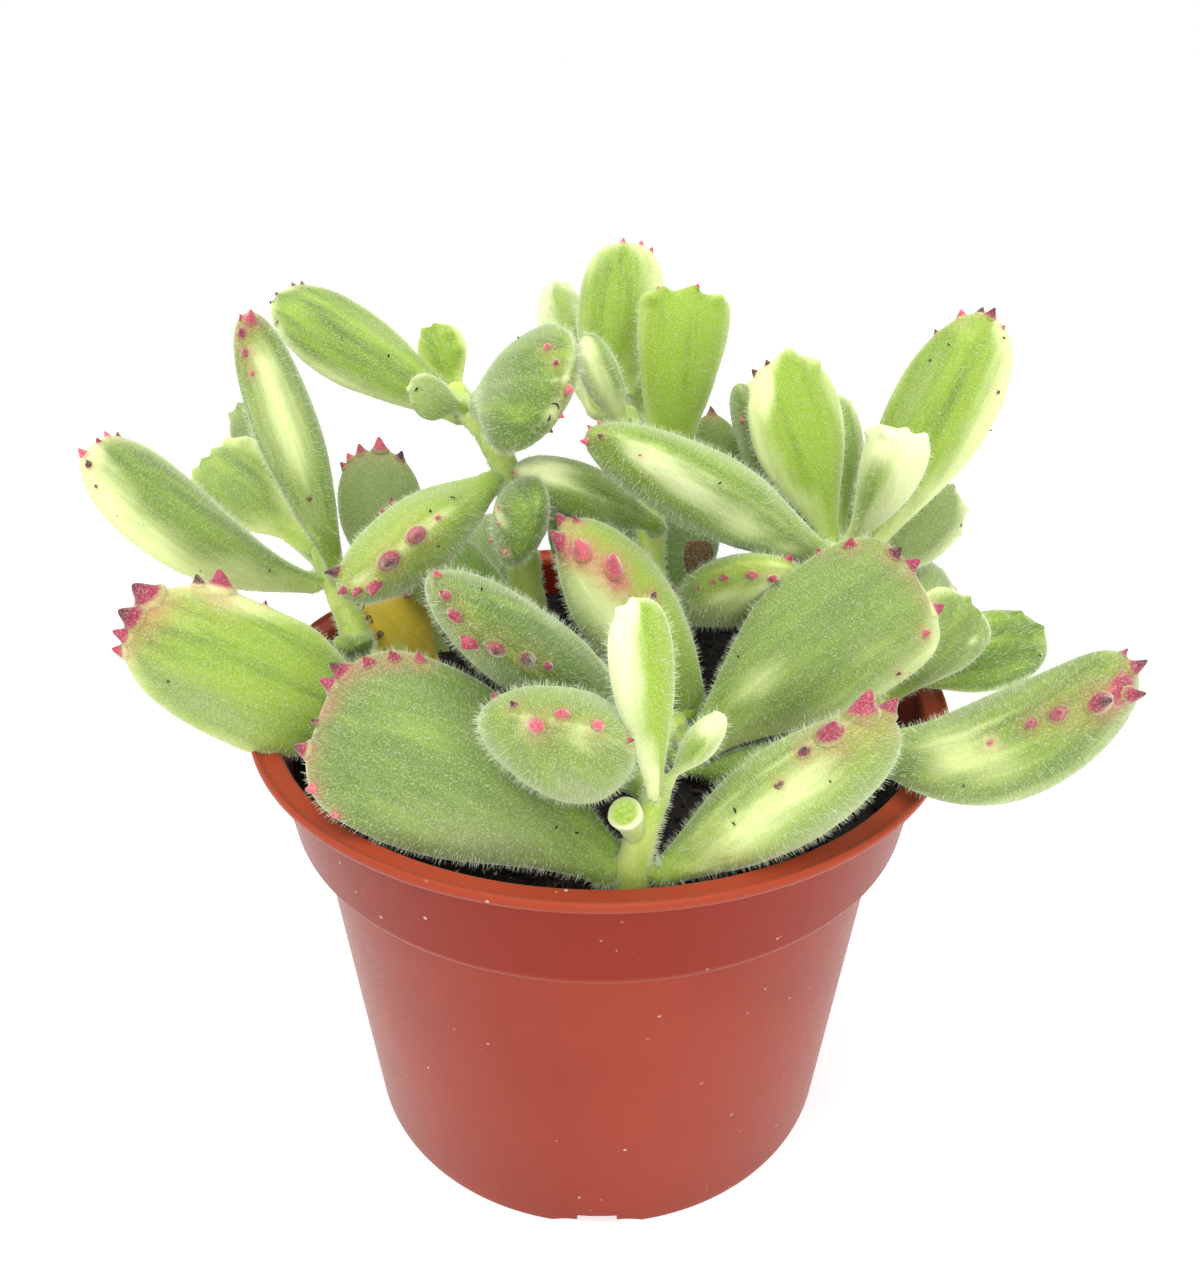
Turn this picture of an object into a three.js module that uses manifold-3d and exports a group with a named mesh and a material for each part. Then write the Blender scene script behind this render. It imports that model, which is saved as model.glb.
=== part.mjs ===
// A variegated cubs paw in a plastic nursery pot. Millimetres, +Z up, the origin under the
// middle of the pot on the surface it stands on. The photographed side faces -Y.
import * as THREE from 'three';
import { mergeVertices } from 'three/addons/utils/BufferGeometryUtils.js';
import Module from 'manifold-3d';

const wasm = await Module();
wasm.setup();

// Driving dimensions of the pot
const potHeight = 60;
const lipRadius = 42.5;
const lipInnerRadius = 39.6;
const lipFall = 0.5;
const lipEdge = 0.9;
const lipThickness = 1.4;
const rounding = 0.3;
const collarTopRadius = 40.2;
const collarFootRadius = 38.6;
const collarFootHeight = 46.2;
const bodyTopRadius = 36;
const footRadius = 31.5;
const footWidth = 1.8;
const wall = 1;
const floorUnderside = 3;
const floorThickness = 1.2;
const potSides = 32;
const notchCount = 4;
const notchWidth = 5;
const notchReach = 8;
const notchHeight = 1.6;
const drainHoleCount = 8;
const drainHoleRadius = 3;
const drainRingRadius = 21;
const drainHoleSides = 8;

// Driving dimensions of the soil
const gap = 0.3;
const soilEdgeHeight = 54.2;
const soilMound = 1.4;
const soilSides = 24;
const stemHoleDepth = 3;
const stemHoleSides = 10;

// How leaves swell from their base, as shares and powers, and how thick their stalks are
const usualWidest = 0.62;
const usualBlunt = 2.2;
const usualNeck = 0.25;
const widthRise = 1.4;
const thickWidest = 0.5;
const thickNeck = 0.35;
const thickRise = 1.1;
const thickBlunt = 2;
const stalkRadius = 0.8;
const clawFall = 0.45;

// How the leaves and stems are faceted
const stemSides = 8;
const stalkSides = 5;
const clawSides = 3;
const longLeaf = 24;
const shortLeaf = 12;

// Colours
const green = new THREE.Color(0.47, 0.62, 0.3);
const stemGreen = new THREE.Color(0.55, 0.65, 0.33);
const dyingYellow = new THREE.Color(0.83, 0.66, 0.16);
const potColour = new THREE.Color(0.66, 0.25, 0.18);
const soilColour = new THREE.Color(0.07, 0.06, 0.05);

// Each stem: its route from its hole in the soil, as x, y, z and radius, and its leaves.
// A leaf goes from its base to its tip. Its width runs across, its thickness through it, and
// turn is how far its upper face is rolled about its length from facing the sky, in degrees.
// bend bows it towards its upper face and sweep towards its edge, as shares of its length. wide
// says how far along it is widest, blunt how square its tip is, and neck how wide its base is.
// claws: how many, how far round the margin they reach (1 is the widest place), their length.
const stems = [
  {
    name: 'left', route: [[-25, -1, 51.5, 2.2], [-30, 4, 61, 2], [-35.3, 9.3, 73.3, 1.3]],
    leaves: [
      { name: 'left_leaf_low', from: [-37, 7, 70.5], to: [-56, -3, 91.5], width: 11.5, thick: 6,
        turn: -45, sweep: -0.04, wide: 0.7, blunt: 2.5, claws: [7, 0.9, 1.4] },
      { name: 'left_leaf_crenate', from: [-37.6, 9.8, 72.5], to: [-50.5, 16, 83.7], width: 12, thick: 5,
        turn: -45, wide: 0.75, blunt: 3, claws: [7, 1, 1.1] },
      { name: 'left_leaf_upright', from: [-32.5, 5, 73], to: [-38.9, 4, 104.5], width: 9.6, thick: 6.5,
        turn: -40, claws: [7, 1, 1.5] },
      { name: 'left_leaf_small', from: [-36, 13, 75.5], to: [-46, 28.8, 88.5], width: 8, thick: 4,
        turn: -20, claws: [5, 0.9, 1] },
      { name: 'left_leaf_back', from: [-36, 12, 70], to: [-46, 33, 77], width: 9, thick: 5,
        turn: -15, claws: [5, 0.9, 1.4] },
    ],
  },
  {
    name: 'tall_left',
    route: [[-8, 4, 51.5, 2.4], [-9, 4, 70, 2.1], [-11.5, 5.5, 86, 1.7], [-17.5, 12, 93, 1.4]],
    leaves: [
      { name: 'tall_left_leaf_top', from: [-20, 13, 93], to: [-40, 21, 103.5], width: 10.5, thick: 6,
        turn: -45, claws: [5, 0.8, 1] },
      { name: 'tall_left_leaf_young', from: [-18, 14, 95], to: [-19.5, 17, 101], width: 6, thick: 3,
        turn: -45, wide: 0.75, blunt: 3, claws: [3, 0.9, 0.8] },
      { name: 'tall_left_leaf_bud', from: [-17.5, 9.3, 94.5], to: [-22, 6, 97], width: 4.5, thick: 3,
        turn: -55, claws: [3, 0.6, 0.6] },
      { name: 'tall_left_leaf_round', from: [-13.7, 7, 93.5], to: [-3.7, -5, 99.5], width: 15,
        thick: 8, turn: 50, claws: [7, 1, 1.2] },
      { name: 'tall_left_leaf_side', from: [-13.5, 3, 85], to: [-29, -9, 78], width: 13, thick: 9,
        turn: 35, claws: [9, 1.2, 1.6] },
      { name: 'tall_left_leaf_front', from: [-9.3, 2, 81.6], to: [-7, -9, 80], width: 9, thick: 6,
        turn: 70, claws: [3, 0.6, 0.6] },
      { name: 'tall_left_leaf_low', from: [-12, 6, 67.5], to: [-26, 14, 71], width: 9, thick: 6,
        turn: -45, claws: [5, 0.9, 1.2] },
      { name: 'tall_left_leaf_back', from: [-12, 8, 62], to: [-20, 39, 66], width: 12, thick: 7,
        turn: -15, claws: [5, 0.9, 1.6] },
    ],
  },
  {
    name: 'middle', route: [[7, 8, 51.5, 2.2], [6.5, 9, 72, 1.8], [6, 16, 82, 1.7], [3.5, 23, 87, 1.4]],
    leaves: [
      { name: 'middle_leaf_pale', from: [-2.2, 25.6, 87.8], to: [-7.5, 40, 101], width: 8, thick: 5,
        turn: -25, claws: [5, 0.9, 1] },
      { name: 'middle_leaf_tall', from: [3.3, 26, 88.9], to: [3, 34, 107], width: 11.5, thick: 5.5,
        turn: 15, neck: 0.5, wide: 0.5, claws: [7, 1, 1] },
      { name: 'middle_leaf_striped', from: [2.5, 20, 87.5], to: [-2, 18, 98.5], width: 8, thick: 5,
        turn: -30, claws: [3, 0.6, 0.6] },
      { name: 'middle_leaf_paw', from: [7.2, 20, 86.3], to: [10.7, 22.5, 102.7], width: 13, thick: 5,
        turn: 50, wide: 0.75, blunt: 3, claws: [6, 0.8, 1.6] },
      { name: 'middle_leaf_front', from: [5.5, 5, 79.5], to: [-9.5, -0.6, 88], width: 9, thick: 7,
        turn: 15, claws: [5, 0.9, 0.8] },
      { name: 'middle_leaf_inner', from: [3.5, 11.5, 60], to: [-0.5, 17.5, 81], width: 11, thick: 6,
        turn: -30, claws: [5, 0.9, 1.4] },
      { name: 'middle_leaf_low_back', from: [7.3, 13, 62], to: [6, 40, 70], width: 13, thick: 7,
        turn: -5, claws: [7, 0.9, 1.6] },
      { name: 'middle_leaf_high_back', from: [6.5, 26, 84.5], to: [9.5, 41, 88.5], width: 11, thick: 6,
        turn: 15, claws: [6, 0.9, 1.4] },
      { name: 'middle_leaf_right', from: [9, 5.3, 67.2], to: [22.6, -5.9, 77.8], width: 12, thick: 7.2,
        turn: 145, claws: [9, 1.2, 1.3] },
    ],
  },
  {
    name: 'centre', route: [[7, -11, 51.5, 2.4], [8.5, -11, 60, 2.1]],
    leaves: [
      { name: 'centre_leaf_left', from: [4.3, -11.8, 61.4], to: [-16, -22.8, 84.4], width: 13, thick: 9.2,
        turn: -5, claws: [9, 1.3, 1.5] },
      { name: 'centre_leaf_tall', from: [9.5, -8, 62], to: [-3.5, -7.6, 83.8], width: 12.5, thick: 11,
        turn: -10, claws: [8, 1.1, 2.2] },
      { name: 'centre_leaf_right', from: [12, -15.4, 61], to: [38.3, -9.2, 76.8], width: 18, thick: 8,
        turn: 50, sweep: -0.03, claws: [8, 1.1, 1.5] },
      { name: 'centre_leaf_shaded', from: [11, -16, 57.5], to: [25, -20, 59.5], width: 7, thick: 4,
        turn: 50, claws: [5, 0.9, 1.2] },
    ],
  },
  {
    name: 'front', route: [[3, -34, 51.5, 2], [4, -33.5, 60, 1.7], [5.8, -32.3, 66, 1.4]],
    stub: { from: [3.8, -33.2, 61.5], to: [2.2, -36, 66], radius: 1.7 },
    leaves: [
      { name: 'front_leaf_fan', from: [1, -33, 58], to: [-28.2, -23.3, 71], width: 20.3, thick: 8,
        turn: -45, sweep: 0.03, wide: 0.68, blunt: 2.6, claws: [11, 1.1, 1.6] },
      { name: 'front_leaf_right', from: [7, -33.8, 57.3], to: [29.2, -29.8, 71.8], width: 12.3, thick: 9.6,
        turn: 110, claws: [9, 1.3, 2.4] },
      { name: 'front_leaf_pointing', from: [1.5, -27.4, 65.3], to: [-7.2, -38.5, 78.3], width: 14, thick: 9,
        turn: 15, claws: [7, 1.1, 1.3] },
      { name: 'front_leaf_young', from: [5.6, -34.4, 67.5], to: [3.5, -36, 88], width: 6.5, thick: 4.5,
        turn: -90, claws: [3, 0.6, 0.7] },
      { name: 'front_leaf_youngest', from: [7.5, -33, 67.6], to: [11.1, -33, 75], width: 4.5, thick: 3.2,
        turn: 70, claws: [3, 0.6, 0.5] },
    ],
  },
  {
    name: 'low_left', route: [[-20, -7, 51.5, 2.2], [-22, -8, 57.5, 2]],
    leaves: [
      { name: 'low_left_leaf', from: [-24.5, -9, 60.3], to: [-51, -13, 74.8], width: 16, thick: 7,
        turn: -60, wide: 0.5, blunt: 2.6, neck: 0.5, claws: [9, 0.95, 1.9] },
    ],
  },
  {
    name: 'back_left', route: [[-22, 17, 51.5, 2], [-25, 18, 60, 1.8]],
    leaves: [
      { name: 'back_left_leaf_paw', from: [-28.5, 20, 61.5], to: [-32, 30, 79.5], width: 12, thick: 5,
        turn: -15, claws: [6, 0.9, 1.6] },
      { name: 'back_left_leaf_inner', from: [-26, 16.5, 62], to: [-27, 21, 75.5], width: 8, thick: 4,
        turn: -15, claws: [5, 0.9, 1.4] },
      { name: 'back_left_leaf_dying', from: [-22, 13.5, 58], to: [-30, 9, 65.5], width: 9, thick: 3,
        turn: -70, claws: [4, 0.9, 1], colour: dyingYellow },
    ],
  },
  {
    name: 'back_right', route: [[24, 8, 51.5, 2.3], [27, 9, 64, 2], [30, 10, 73, 1.6]],
    leaves: [
      { name: 'back_right_leaf_edge', from: [26.5, 5, 75.5], to: [-1, -8, 94.5], width: 12, thick: 9,
        turn: 20, claws: [7, 0.9, 1.1] },
      { name: 'back_right_leaf_paw', from: [29, 11.5, 75.5], to: [22.2, 13, 97.5], width: 12.8,
        thick: 5, turn: -55, claws: [6, 0.9, 1.6] },
      { name: 'back_right_leaf_fuzzy', from: [31.4, 9.3, 75.5], to: [36.8, 5, 91], width: 8, thick: 5,
        turn: 105, claws: [3, 0.6, 0.8] },
      { name: 'back_right_leaf_tall', from: [33.5, 12, 72], to: [48, 18, 101], width: 12.8, thick: 6,
        turn: 60, claws: [7, 0.9, 1.4] },
      { name: 'back_right_leaf_low', from: [34.3, 13.7, 67.2], to: [47.5, 21.7, 77.4], width: 10, thick: 5,
        turn: 40, claws: [5, 0.9, 1.2] },
      { name: 'back_right_leaf_inner', from: [27, 14.5, 73], to: [18, 21.5, 91.7], width: 10.5, thick: 6.5,
        turn: 40, claws: [6, 1, 1.2] },
      { name: 'back_right_leaf_dark', from: [24, 16, 68], to: [15.3, 28, 85.3], width: 7, thick: 4.5,
        turn: -35, claws: [3, 0.6, 1.2] },
      { name: 'back_right_leaf_narrow', from: [32, 14.3, 75.6], to: [31.8, 21, 90.5], width: 8,
        thick: 4, turn: 10, claws: [3, 0.6, 0.8] },
      { name: 'back_right_leaf_back', from: [29.3, 15, 68.3], to: [36, 37, 79], width: 11, thick: 6,
        turn: 10, claws: [6, 0.9, 1.4] },
      { name: 'back_right_leaf_low_back', from: [25, 13, 60], to: [31, 40, 67], width: 13, thick: 7,
        turn: 15, claws: [7, 0.9, 1.6] },
    ],
  },
  {
    name: 'right',
    route: [[27, -16, 51.5, 2.2], [29, -14.5, 58, 2], [32.5, -8, 61, 1.8], [33.5, -3, 62.5, 1.5]],
    leaves: [
      { name: 'right_leaf_thick', from: [29.8, -20.2, 61.8], to: [51.3, -30, 76], width: 14, thick: 12,
        turn: 125, bend: 0.1, claws: [11, 1.35, 2.2] },
      { name: 'right_leaf_crenate', from: [34.9, -6, 63.6], to: [43.8, -2.4, 74.7], width: 11, thick: 5,
        turn: 80, claws: [7, 1.1, 1] },
      { name: 'right_leaf_bright', from: [36, -3.5, 62.6], to: [56, 4, 64.6], width: 10, thick: 5,
        turn: 45, claws: [7, 1, 1] },
      { name: 'right_leaf_back', from: [34.8, 0.5, 62.8], to: [47, 25, 64.7], width: 11, thick: 6,
        turn: 25, claws: [6, 0.9, 1.4] },
    ],
  },
];

const up = new THREE.Vector3(0, 0, 1);

// The solid of a closed geometry.
function solidOf(geometry) {
  const bare = geometry.clone();
  bare.deleteAttribute('normal');
  bare.deleteAttribute('uv');
  const merged = mergeVertices(bare);
  const vertProperties = new Float32Array(merged.attributes.position.array);
  const triVerts = new Uint32Array(merged.index.array);
  return new wasm.Manifold(new wasm.Mesh({ numProp: 3, vertProperties, triVerts }));
}

// The geometry of a solid.
function geometryOf(solid) {
  const mesh = solid.getMesh();
  const geometry = new THREE.BufferGeometry();
  geometry.setAttribute('position', new THREE.BufferAttribute(mesh.vertProperties, 3));
  geometry.setIndex(new THREE.BufferAttribute(mesh.triVerts, 1));
  geometry.computeVertexNormals();
  return geometry;
}

// A closed skin over rings of points, with a point at each end.
function skin(first, rings, last) {
  const sides = rings[0].length;
  const points = [...rings.flat(), first, last];
  const index = [];
  for (let j = 0; j < sides; j++) {
    const next = (j + 1) % sides;
    index.push(points.length - 2, next, j);
    for (let i = 0; i < rings.length - 1; i++) {
      const a = i * sides + j;
      const b = i * sides + next;
      index.push(a, b, b + sides, a, b + sides, a + sides);
    }
    const end = (rings.length - 1) * sides;
    index.push(end + j, end + next, points.length - 1);
  }
  const geometry = new THREE.BufferGeometry().setFromPoints(points);
  geometry.setIndex(index);
  geometry.computeVertexNormals();
  return geometry;
}

// A round tapered tube along a route of [x, y, z, radius].
function tube(route, sides) {
  const centres = route.map(([x, y, z]) => new THREE.Vector3(x, y, z));
  const rings = route.map(([, , , radius], i) => {
    const before = centres[Math.max(i - 1, 0)];
    const after = centres[Math.min(i + 1, centres.length - 1)];
    const along = after.clone().sub(before).normalize();
    const level = Math.abs(along.y) < 0.9 ? new THREE.Vector3(0, 1, 0) : new THREE.Vector3(0, 0, 1);
    const side = level.cross(along).normalize();
    const across = along.clone().cross(side);
    return Array.from({ length: sides }, (_, j) => {
      const angle = (2 * Math.PI * j) / sides;
      return centres[i].clone()
        .addScaledVector(side, radius * Math.cos(angle))
        .addScaledVector(across, radius * Math.sin(angle));
    });
  });
  return skin(centres[0].clone(), rings, centres.at(-1).clone());
}

// Half widths along a leaf: a rounded neck up to the widest place, then a blunt round end.
function taper(s, widest, neck, rise, blunt) {
  if (s < widest) {
    return neck + (1 - neck) * Math.sin((Math.PI / 2) * (s / widest)) ** rise;
  }
  return (1 - ((s - widest) / (1 - widest)) ** blunt) ** (1 / blunt);
}

// The middle of a leaf at the share s of its length, with its own axes there and its half sizes.
function station(leaf, s) {
  const { bend = 0, sweep = 0, wide = usualWidest, blunt = usualBlunt, neck = usualNeck } = leaf;
  const base = new THREE.Vector3(...leaf.from);
  const run = new THREE.Vector3(...leaf.to).sub(base);
  const length = run.length();
  const axis = run.clone().normalize();
  const level = up.clone().addScaledVector(axis, -axis.z).normalize();
  const face = level.applyAxisAngle(axis, THREE.MathUtils.degToRad(leaf.turn));
  const edge = axis.clone().cross(face);
  const bow = face.clone().multiplyScalar(bend * length).addScaledVector(edge, sweep * length);
  const middle = base.addScaledVector(run, s).addScaledVector(bow, 4 * s * (1 - s));
  const along = run.clone().addScaledVector(bow, 4 * (1 - 2 * s)).normalize();
  const through = face.clone().addScaledVector(along, -face.dot(along)).normalize();
  const across = along.clone().cross(through);
  const halfWidth = (leaf.width / 2) * taper(s, wide, neck, widthRise, blunt);
  const halfThick = (leaf.thick / 2) * taper(s, thickWidest, thickNeck, thickRise, thickBlunt);
  return { middle, along, through, across, halfWidth, halfThick };
}

// The fleshy body of a leaf: an oval section carried along it.
function paddle(leaf) {
  const length = new THREE.Vector3(...leaf.from).distanceTo(new THREE.Vector3(...leaf.to));
  const sides = length > longLeaf ? 10 : 8;
  const neckRings = length > shortLeaf ? 4 : 3;
  const tipRings = length > longLeaf ? 4 : 3;
  const wide = leaf.wide ?? usualWidest;
  const stops = [];
  for (let i = 0; i < neckRings; i++) {
    stops.push((wide * i) / neckRings);
  }
  for (let i = 0; i < tipRings; i++) {
    stops.push(wide + (1 - wide) * Math.sin((Math.PI / 2) * (i / tipRings)));
  }
  const rings = stops.map((s) => {
    const { middle, through, across, halfWidth, halfThick } = station(leaf, s);
    return Array.from({ length: sides }, (_, j) => {
      const angle = (-2 * Math.PI * j) / sides;
      return middle.clone()
        .addScaledVector(across, halfWidth * Math.cos(angle))
        .addScaledVector(through, halfThick * Math.sin(angle));
    });
  });
  return skin(new THREE.Vector3(...leaf.from), rings, new THREE.Vector3(...leaf.to));
}

// The place nearest to a point along a stem's route, with the stem's radius there.
function nearestOn(route, point) {
  let best = { distance: Infinity };
  for (let i = 0; i < route.length - 1; i++) {
    const start = new THREE.Vector3(...route[i]);
    const end = new THREE.Vector3(...route[i + 1]);
    const line = new THREE.Line3(start, end);
    const share = line.closestPointToPointParameter(point, true);
    const place = line.at(share, new THREE.Vector3());
    const distance = place.distanceTo(point);
    if (distance < best.distance) {
      const radius = THREE.MathUtils.lerp(route[i][3], route[i + 1][3], share);
      best = { distance, place, radius };
    }
  }
  return best;
}

// The stalk that carries a leaf's base back to its stem, or nothing where the base is there.
function stalk(leaf, route) {
  const base = new THREE.Vector3(...leaf.from);
  const { distance, place, radius } = nearestOn(route, base);
  const reach = radius + gap;
  if (distance < reach + 0.1) {
    return [];
  }
  const foot = place.lerp(base, reach / distance);
  const root = station(leaf, 0.12);
  const ends = [
    [...foot, stalkRadius],
    [...base, 1.1 * stalkRadius],
    [...root.middle, Math.min(1.1 * stalkRadius, 0.8 * root.halfThick)],
  ];
  return [tube(ends, stalkSides)];
}

// A point on a leaf's margin and the way out from it. m runs from the tip, 0, to the widest
// place, 1 or -1, and on towards the base, 2 or -2.
function marginPoint(leaf, m) {
  const wide = leaf.wide ?? usualWidest;
  const side = Math.sign(m);
  const place = (share) => {
    const reach = Math.abs(share);
    const s = reach <= 1 ? wide + (1 - wide) * Math.cos((Math.PI / 2) * reach) : wide * (2 - reach);
    const { middle, across, halfWidth } = station(leaf, Math.min(s, 0.999));
    return middle.clone().addScaledVector(across, side * halfWidth);
  };
  const { along, across } = station(leaf, 0.9);
  const point = place(m);
  if (side === 0) {
    return { point: new THREE.Vector3(...leaf.to), out: along };
  }
  const step = place(m + 0.02 * side).sub(place(m - 0.02 * side)).normalize();
  const out = across.clone().multiplyScalar(side).addScaledVector(along, 0.25);
  out.addScaledVector(step, -out.dot(step)).normalize();
  return { point, out };
}

// The claws of a leaf, small pointed cones sunk into its margin, largest at its tip.
function claws(leaf) {
  const [count, reach, size] = leaf.claws;
  return Array.from({ length: count }, (_, i) => {
    const m = reach * ((2 * i + 1) / count - 1);
    const { point, out } = marginPoint(leaf, m);
    const height = size * (1 - clawFall * (m / reach) ** 2);
    const root = Math.min(1.2, 0.25 * leaf.thick + 0.2);
    const cone = new THREE.ConeGeometry(0.5 * height + 0.4, height + root, clawSides);
    cone.translate(0, (height + root) / 2 - root, 0);
    cone.applyQuaternion(new THREE.Quaternion().setFromUnitVectors(new THREE.Vector3(0, 1, 0), out));
    cone.translate(point.x, point.y, point.z);
    return cone;
  });
}

// A leaf, its stalk and its claws in one body.
function leafMesh(leaf, route) {
  const pieces = [...stalk(leaf, route), ...claws(leaf)];
  const body = pieces.reduce((whole, piece) => whole.add(solidOf(piece)), solidOf(paddle(leaf)));
  return named(leaf.name, geometryOf(body), leaf.colour ?? green, 0.75);
}

// A stem with a rounded top, and with the stub of a cut branch where it has one.
function stemMesh({ name, route, stub }) {
  const end = new THREE.Vector3(...route.at(-1));
  const radius = route.at(-1)[3];
  const onward = end.clone().sub(new THREE.Vector3(...route.at(-2))).normalize();
  const dome = end.addScaledVector(onward, 0.6 * radius);
  let body = solidOf(tube([...route, [...dome, 0.75 * radius]], stemSides));
  if (stub) {
    body = body.add(solidOf(tube([[...stub.from, stub.radius], [...stub.to, stub.radius]], stemSides)));
  }
  return named(`stem_${name}`, geometryOf(body), stemGreen, 0.8);
}

// The pot, turned about its axis: floor, foot, body, collar and flat lip.
function potMesh() {
  const floorTop = floorUnderside + floorThickness;
  const profile = [
    [0, floorUnderside],
    [footRadius - footWidth - 0.5, floorUnderside],
    [footRadius - footWidth, 0],
    [footRadius, 0],
    [bodyTopRadius, collarFootHeight - 0.5],
    [collarFootRadius - rounding, collarFootHeight],
    [collarFootRadius, collarFootHeight + 0.6],
    [collarTopRadius, potHeight - lipThickness - 0.2],
    [lipRadius - rounding, potHeight - lipThickness],
    [lipRadius, potHeight - lipEdge],
    [lipRadius, potHeight - rounding],
    [lipRadius - rounding, potHeight],
    [lipRadius - 1, potHeight - lipFall],
    [lipInnerRadius, potHeight - lipFall],
    [collarTopRadius - wall, potHeight - 1.3],
    [collarFootRadius - wall, collarFootHeight + 1],
    [bodyTopRadius - wall, collarFootHeight - 0.3],
    [footRadius - wall + 0.4, floorTop + 0.6],
    [footRadius - wall - 0.4, floorTop],
    [0, floorTop],
  ].map(([r, z]) => new THREE.Vector2(r, z));
  const shell = new THREE.LatheGeometry(profile, potSides);
  shell.rotateX(Math.PI / 2);
  let body = solidOf(shell);
  for (let i = 0; i < notchCount; i++) {
    const notch = new THREE.BoxGeometry(notchReach, notchWidth, 2 * notchHeight);
    notch.translate(footRadius, 0, 0);
    notch.rotateZ((2 * Math.PI * i) / notchCount);
    body = body.subtract(solidOf(notch));
  }
  for (let i = 0; i < drainHoleCount; i++) {
    const angle = (2 * Math.PI * (i + 0.5)) / drainHoleCount;
    const hole = new THREE.CylinderGeometry(
      drainHoleRadius, drainHoleRadius, 2 * floorThickness, drainHoleSides);
    hole.rotateX(Math.PI / 2);
    hole.translate(drainRingRadius * Math.cos(angle), drainRingRadius * Math.sin(angle),
      floorUnderside + floorThickness / 2);
    body = body.subtract(solidOf(hole));
  }
  return named('pot', geometryOf(body), potColour, 0.45);
}

// The soil that fills the pot, mounded a little, with a plain hole round each stem.
function soilMesh() {
  const bottom = floorUnderside + floorThickness + gap;
  const profile = [
    [0, bottom],
    [footRadius - wall - 1, bottom],
    [bodyTopRadius - wall - 2 * gap, collarFootHeight + 1],
    [collarFootRadius - wall - 2 * gap, collarFootHeight + 2.2],
    [collarTopRadius - wall - 4 * gap, soilEdgeHeight],
    [0.75 * collarTopRadius, soilEdgeHeight + 0.5 * soilMound],
    [0.4 * collarTopRadius, soilEdgeHeight + 0.9 * soilMound],
    [0, soilEdgeHeight + soilMound],
  ].map(([r, z]) => new THREE.Vector2(r, z));
  const mass = new THREE.LatheGeometry(profile, soilSides);
  mass.rotateX(Math.PI / 2);
  let body = solidOf(mass);
  for (const { route } of stems) {
    const [x, y, z, radius] = route[0];
    const [nextX, nextY, nextZ] = route[1];
    const holeRadius = (radius + 2 * gap) / Math.cos(Math.PI / stemHoleSides);
    const rise = (soilEdgeHeight + 3 - z) / (nextZ - z);
    const top = [x + rise * (nextX - x), y + rise * (nextY - y), z + rise * (nextZ - z)];
    const hole = tube([
      [x, y, soilEdgeHeight - stemHoleDepth, holeRadius],
      [...top, holeRadius],
    ], stemHoleSides);
    body = body.subtract(solidOf(hole));
  }
  return named('soil', geometryOf(body), soilColour, 0.95);
}

function named(name, geometry, colour, roughness) {
  const material = new THREE.MeshStandardMaterial({ color: colour, roughness, metalness: 0 });
  const mesh = new THREE.Mesh(geometry, material);
  mesh.name = name;
  return mesh;
}

const group = new THREE.Group();
group.add(potMesh());
group.add(soilMesh());
for (const stem of stems) {
  group.add(stemMesh(stem));
  for (const leaf of stem.leaves) {
    group.add(leafMesh(leaf, stem.route));
  }
}

export default group;
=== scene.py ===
"""The looks of a variegated cubs paw in its plastic nursery pot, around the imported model.

Rows and sizes are in millimetres, as in the part's own source, and every mesh is made in metres.
"""
import logging
import math
from dataclasses import dataclass, field, replace
from enum import Enum

import bpy
import numpy as np
from mathutils import Matrix, Vector


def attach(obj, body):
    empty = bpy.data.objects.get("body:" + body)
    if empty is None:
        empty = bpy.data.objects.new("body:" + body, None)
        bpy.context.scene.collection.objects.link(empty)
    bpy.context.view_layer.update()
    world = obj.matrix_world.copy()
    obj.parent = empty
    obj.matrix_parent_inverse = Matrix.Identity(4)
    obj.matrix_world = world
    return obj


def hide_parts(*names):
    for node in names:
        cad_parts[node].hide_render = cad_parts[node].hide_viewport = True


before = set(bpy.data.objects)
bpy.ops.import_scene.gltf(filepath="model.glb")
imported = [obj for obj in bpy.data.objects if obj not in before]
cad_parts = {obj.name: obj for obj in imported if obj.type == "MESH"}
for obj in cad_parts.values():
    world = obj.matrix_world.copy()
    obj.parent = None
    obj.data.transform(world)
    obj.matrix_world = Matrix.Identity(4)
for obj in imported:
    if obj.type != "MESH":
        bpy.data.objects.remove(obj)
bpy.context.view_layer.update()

Array = np.ndarray
Point = tuple[float, float, float]
Colour = tuple[float, float, float]

MM = 0.001
UP = np.array([0.0, 0.0, 1.0])
BODY = "root"
FOOT_RADIUS = 1.0
BLADE_SIDES = 44
CLAW_SIDES = 12
CLAW_HEIGHT = 0.80
CLAW_FLATNESS = 0.75
STEM_SIDES = 28
STEM_STEPS = 14
log = logging.getLogger("potted_cubs_paw")


def unit(vectors: Array) -> Array:
    """Vectors scaled to length one, along the last axis."""
    return vectors / np.maximum(np.linalg.norm(vectors, axis=-1, keepdims=True), 1e-12)


def smooth_step(low: float, high: float, value: Array) -> Array:
    """An S-shaped rise from 0 at low to 1 at high: 3t squared less 2t cubed.

    Args:
        low: Where the rise starts.
        high: Where it ends; below low for a fall.
        value: The values to shape.

    Returns:
        The shaped values, from 0 to 1.
    """
    t = np.clip((value - low) / (high - low), 0.0, 1.0)
    return t * t * (3.0 - 2.0 * t)


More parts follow.
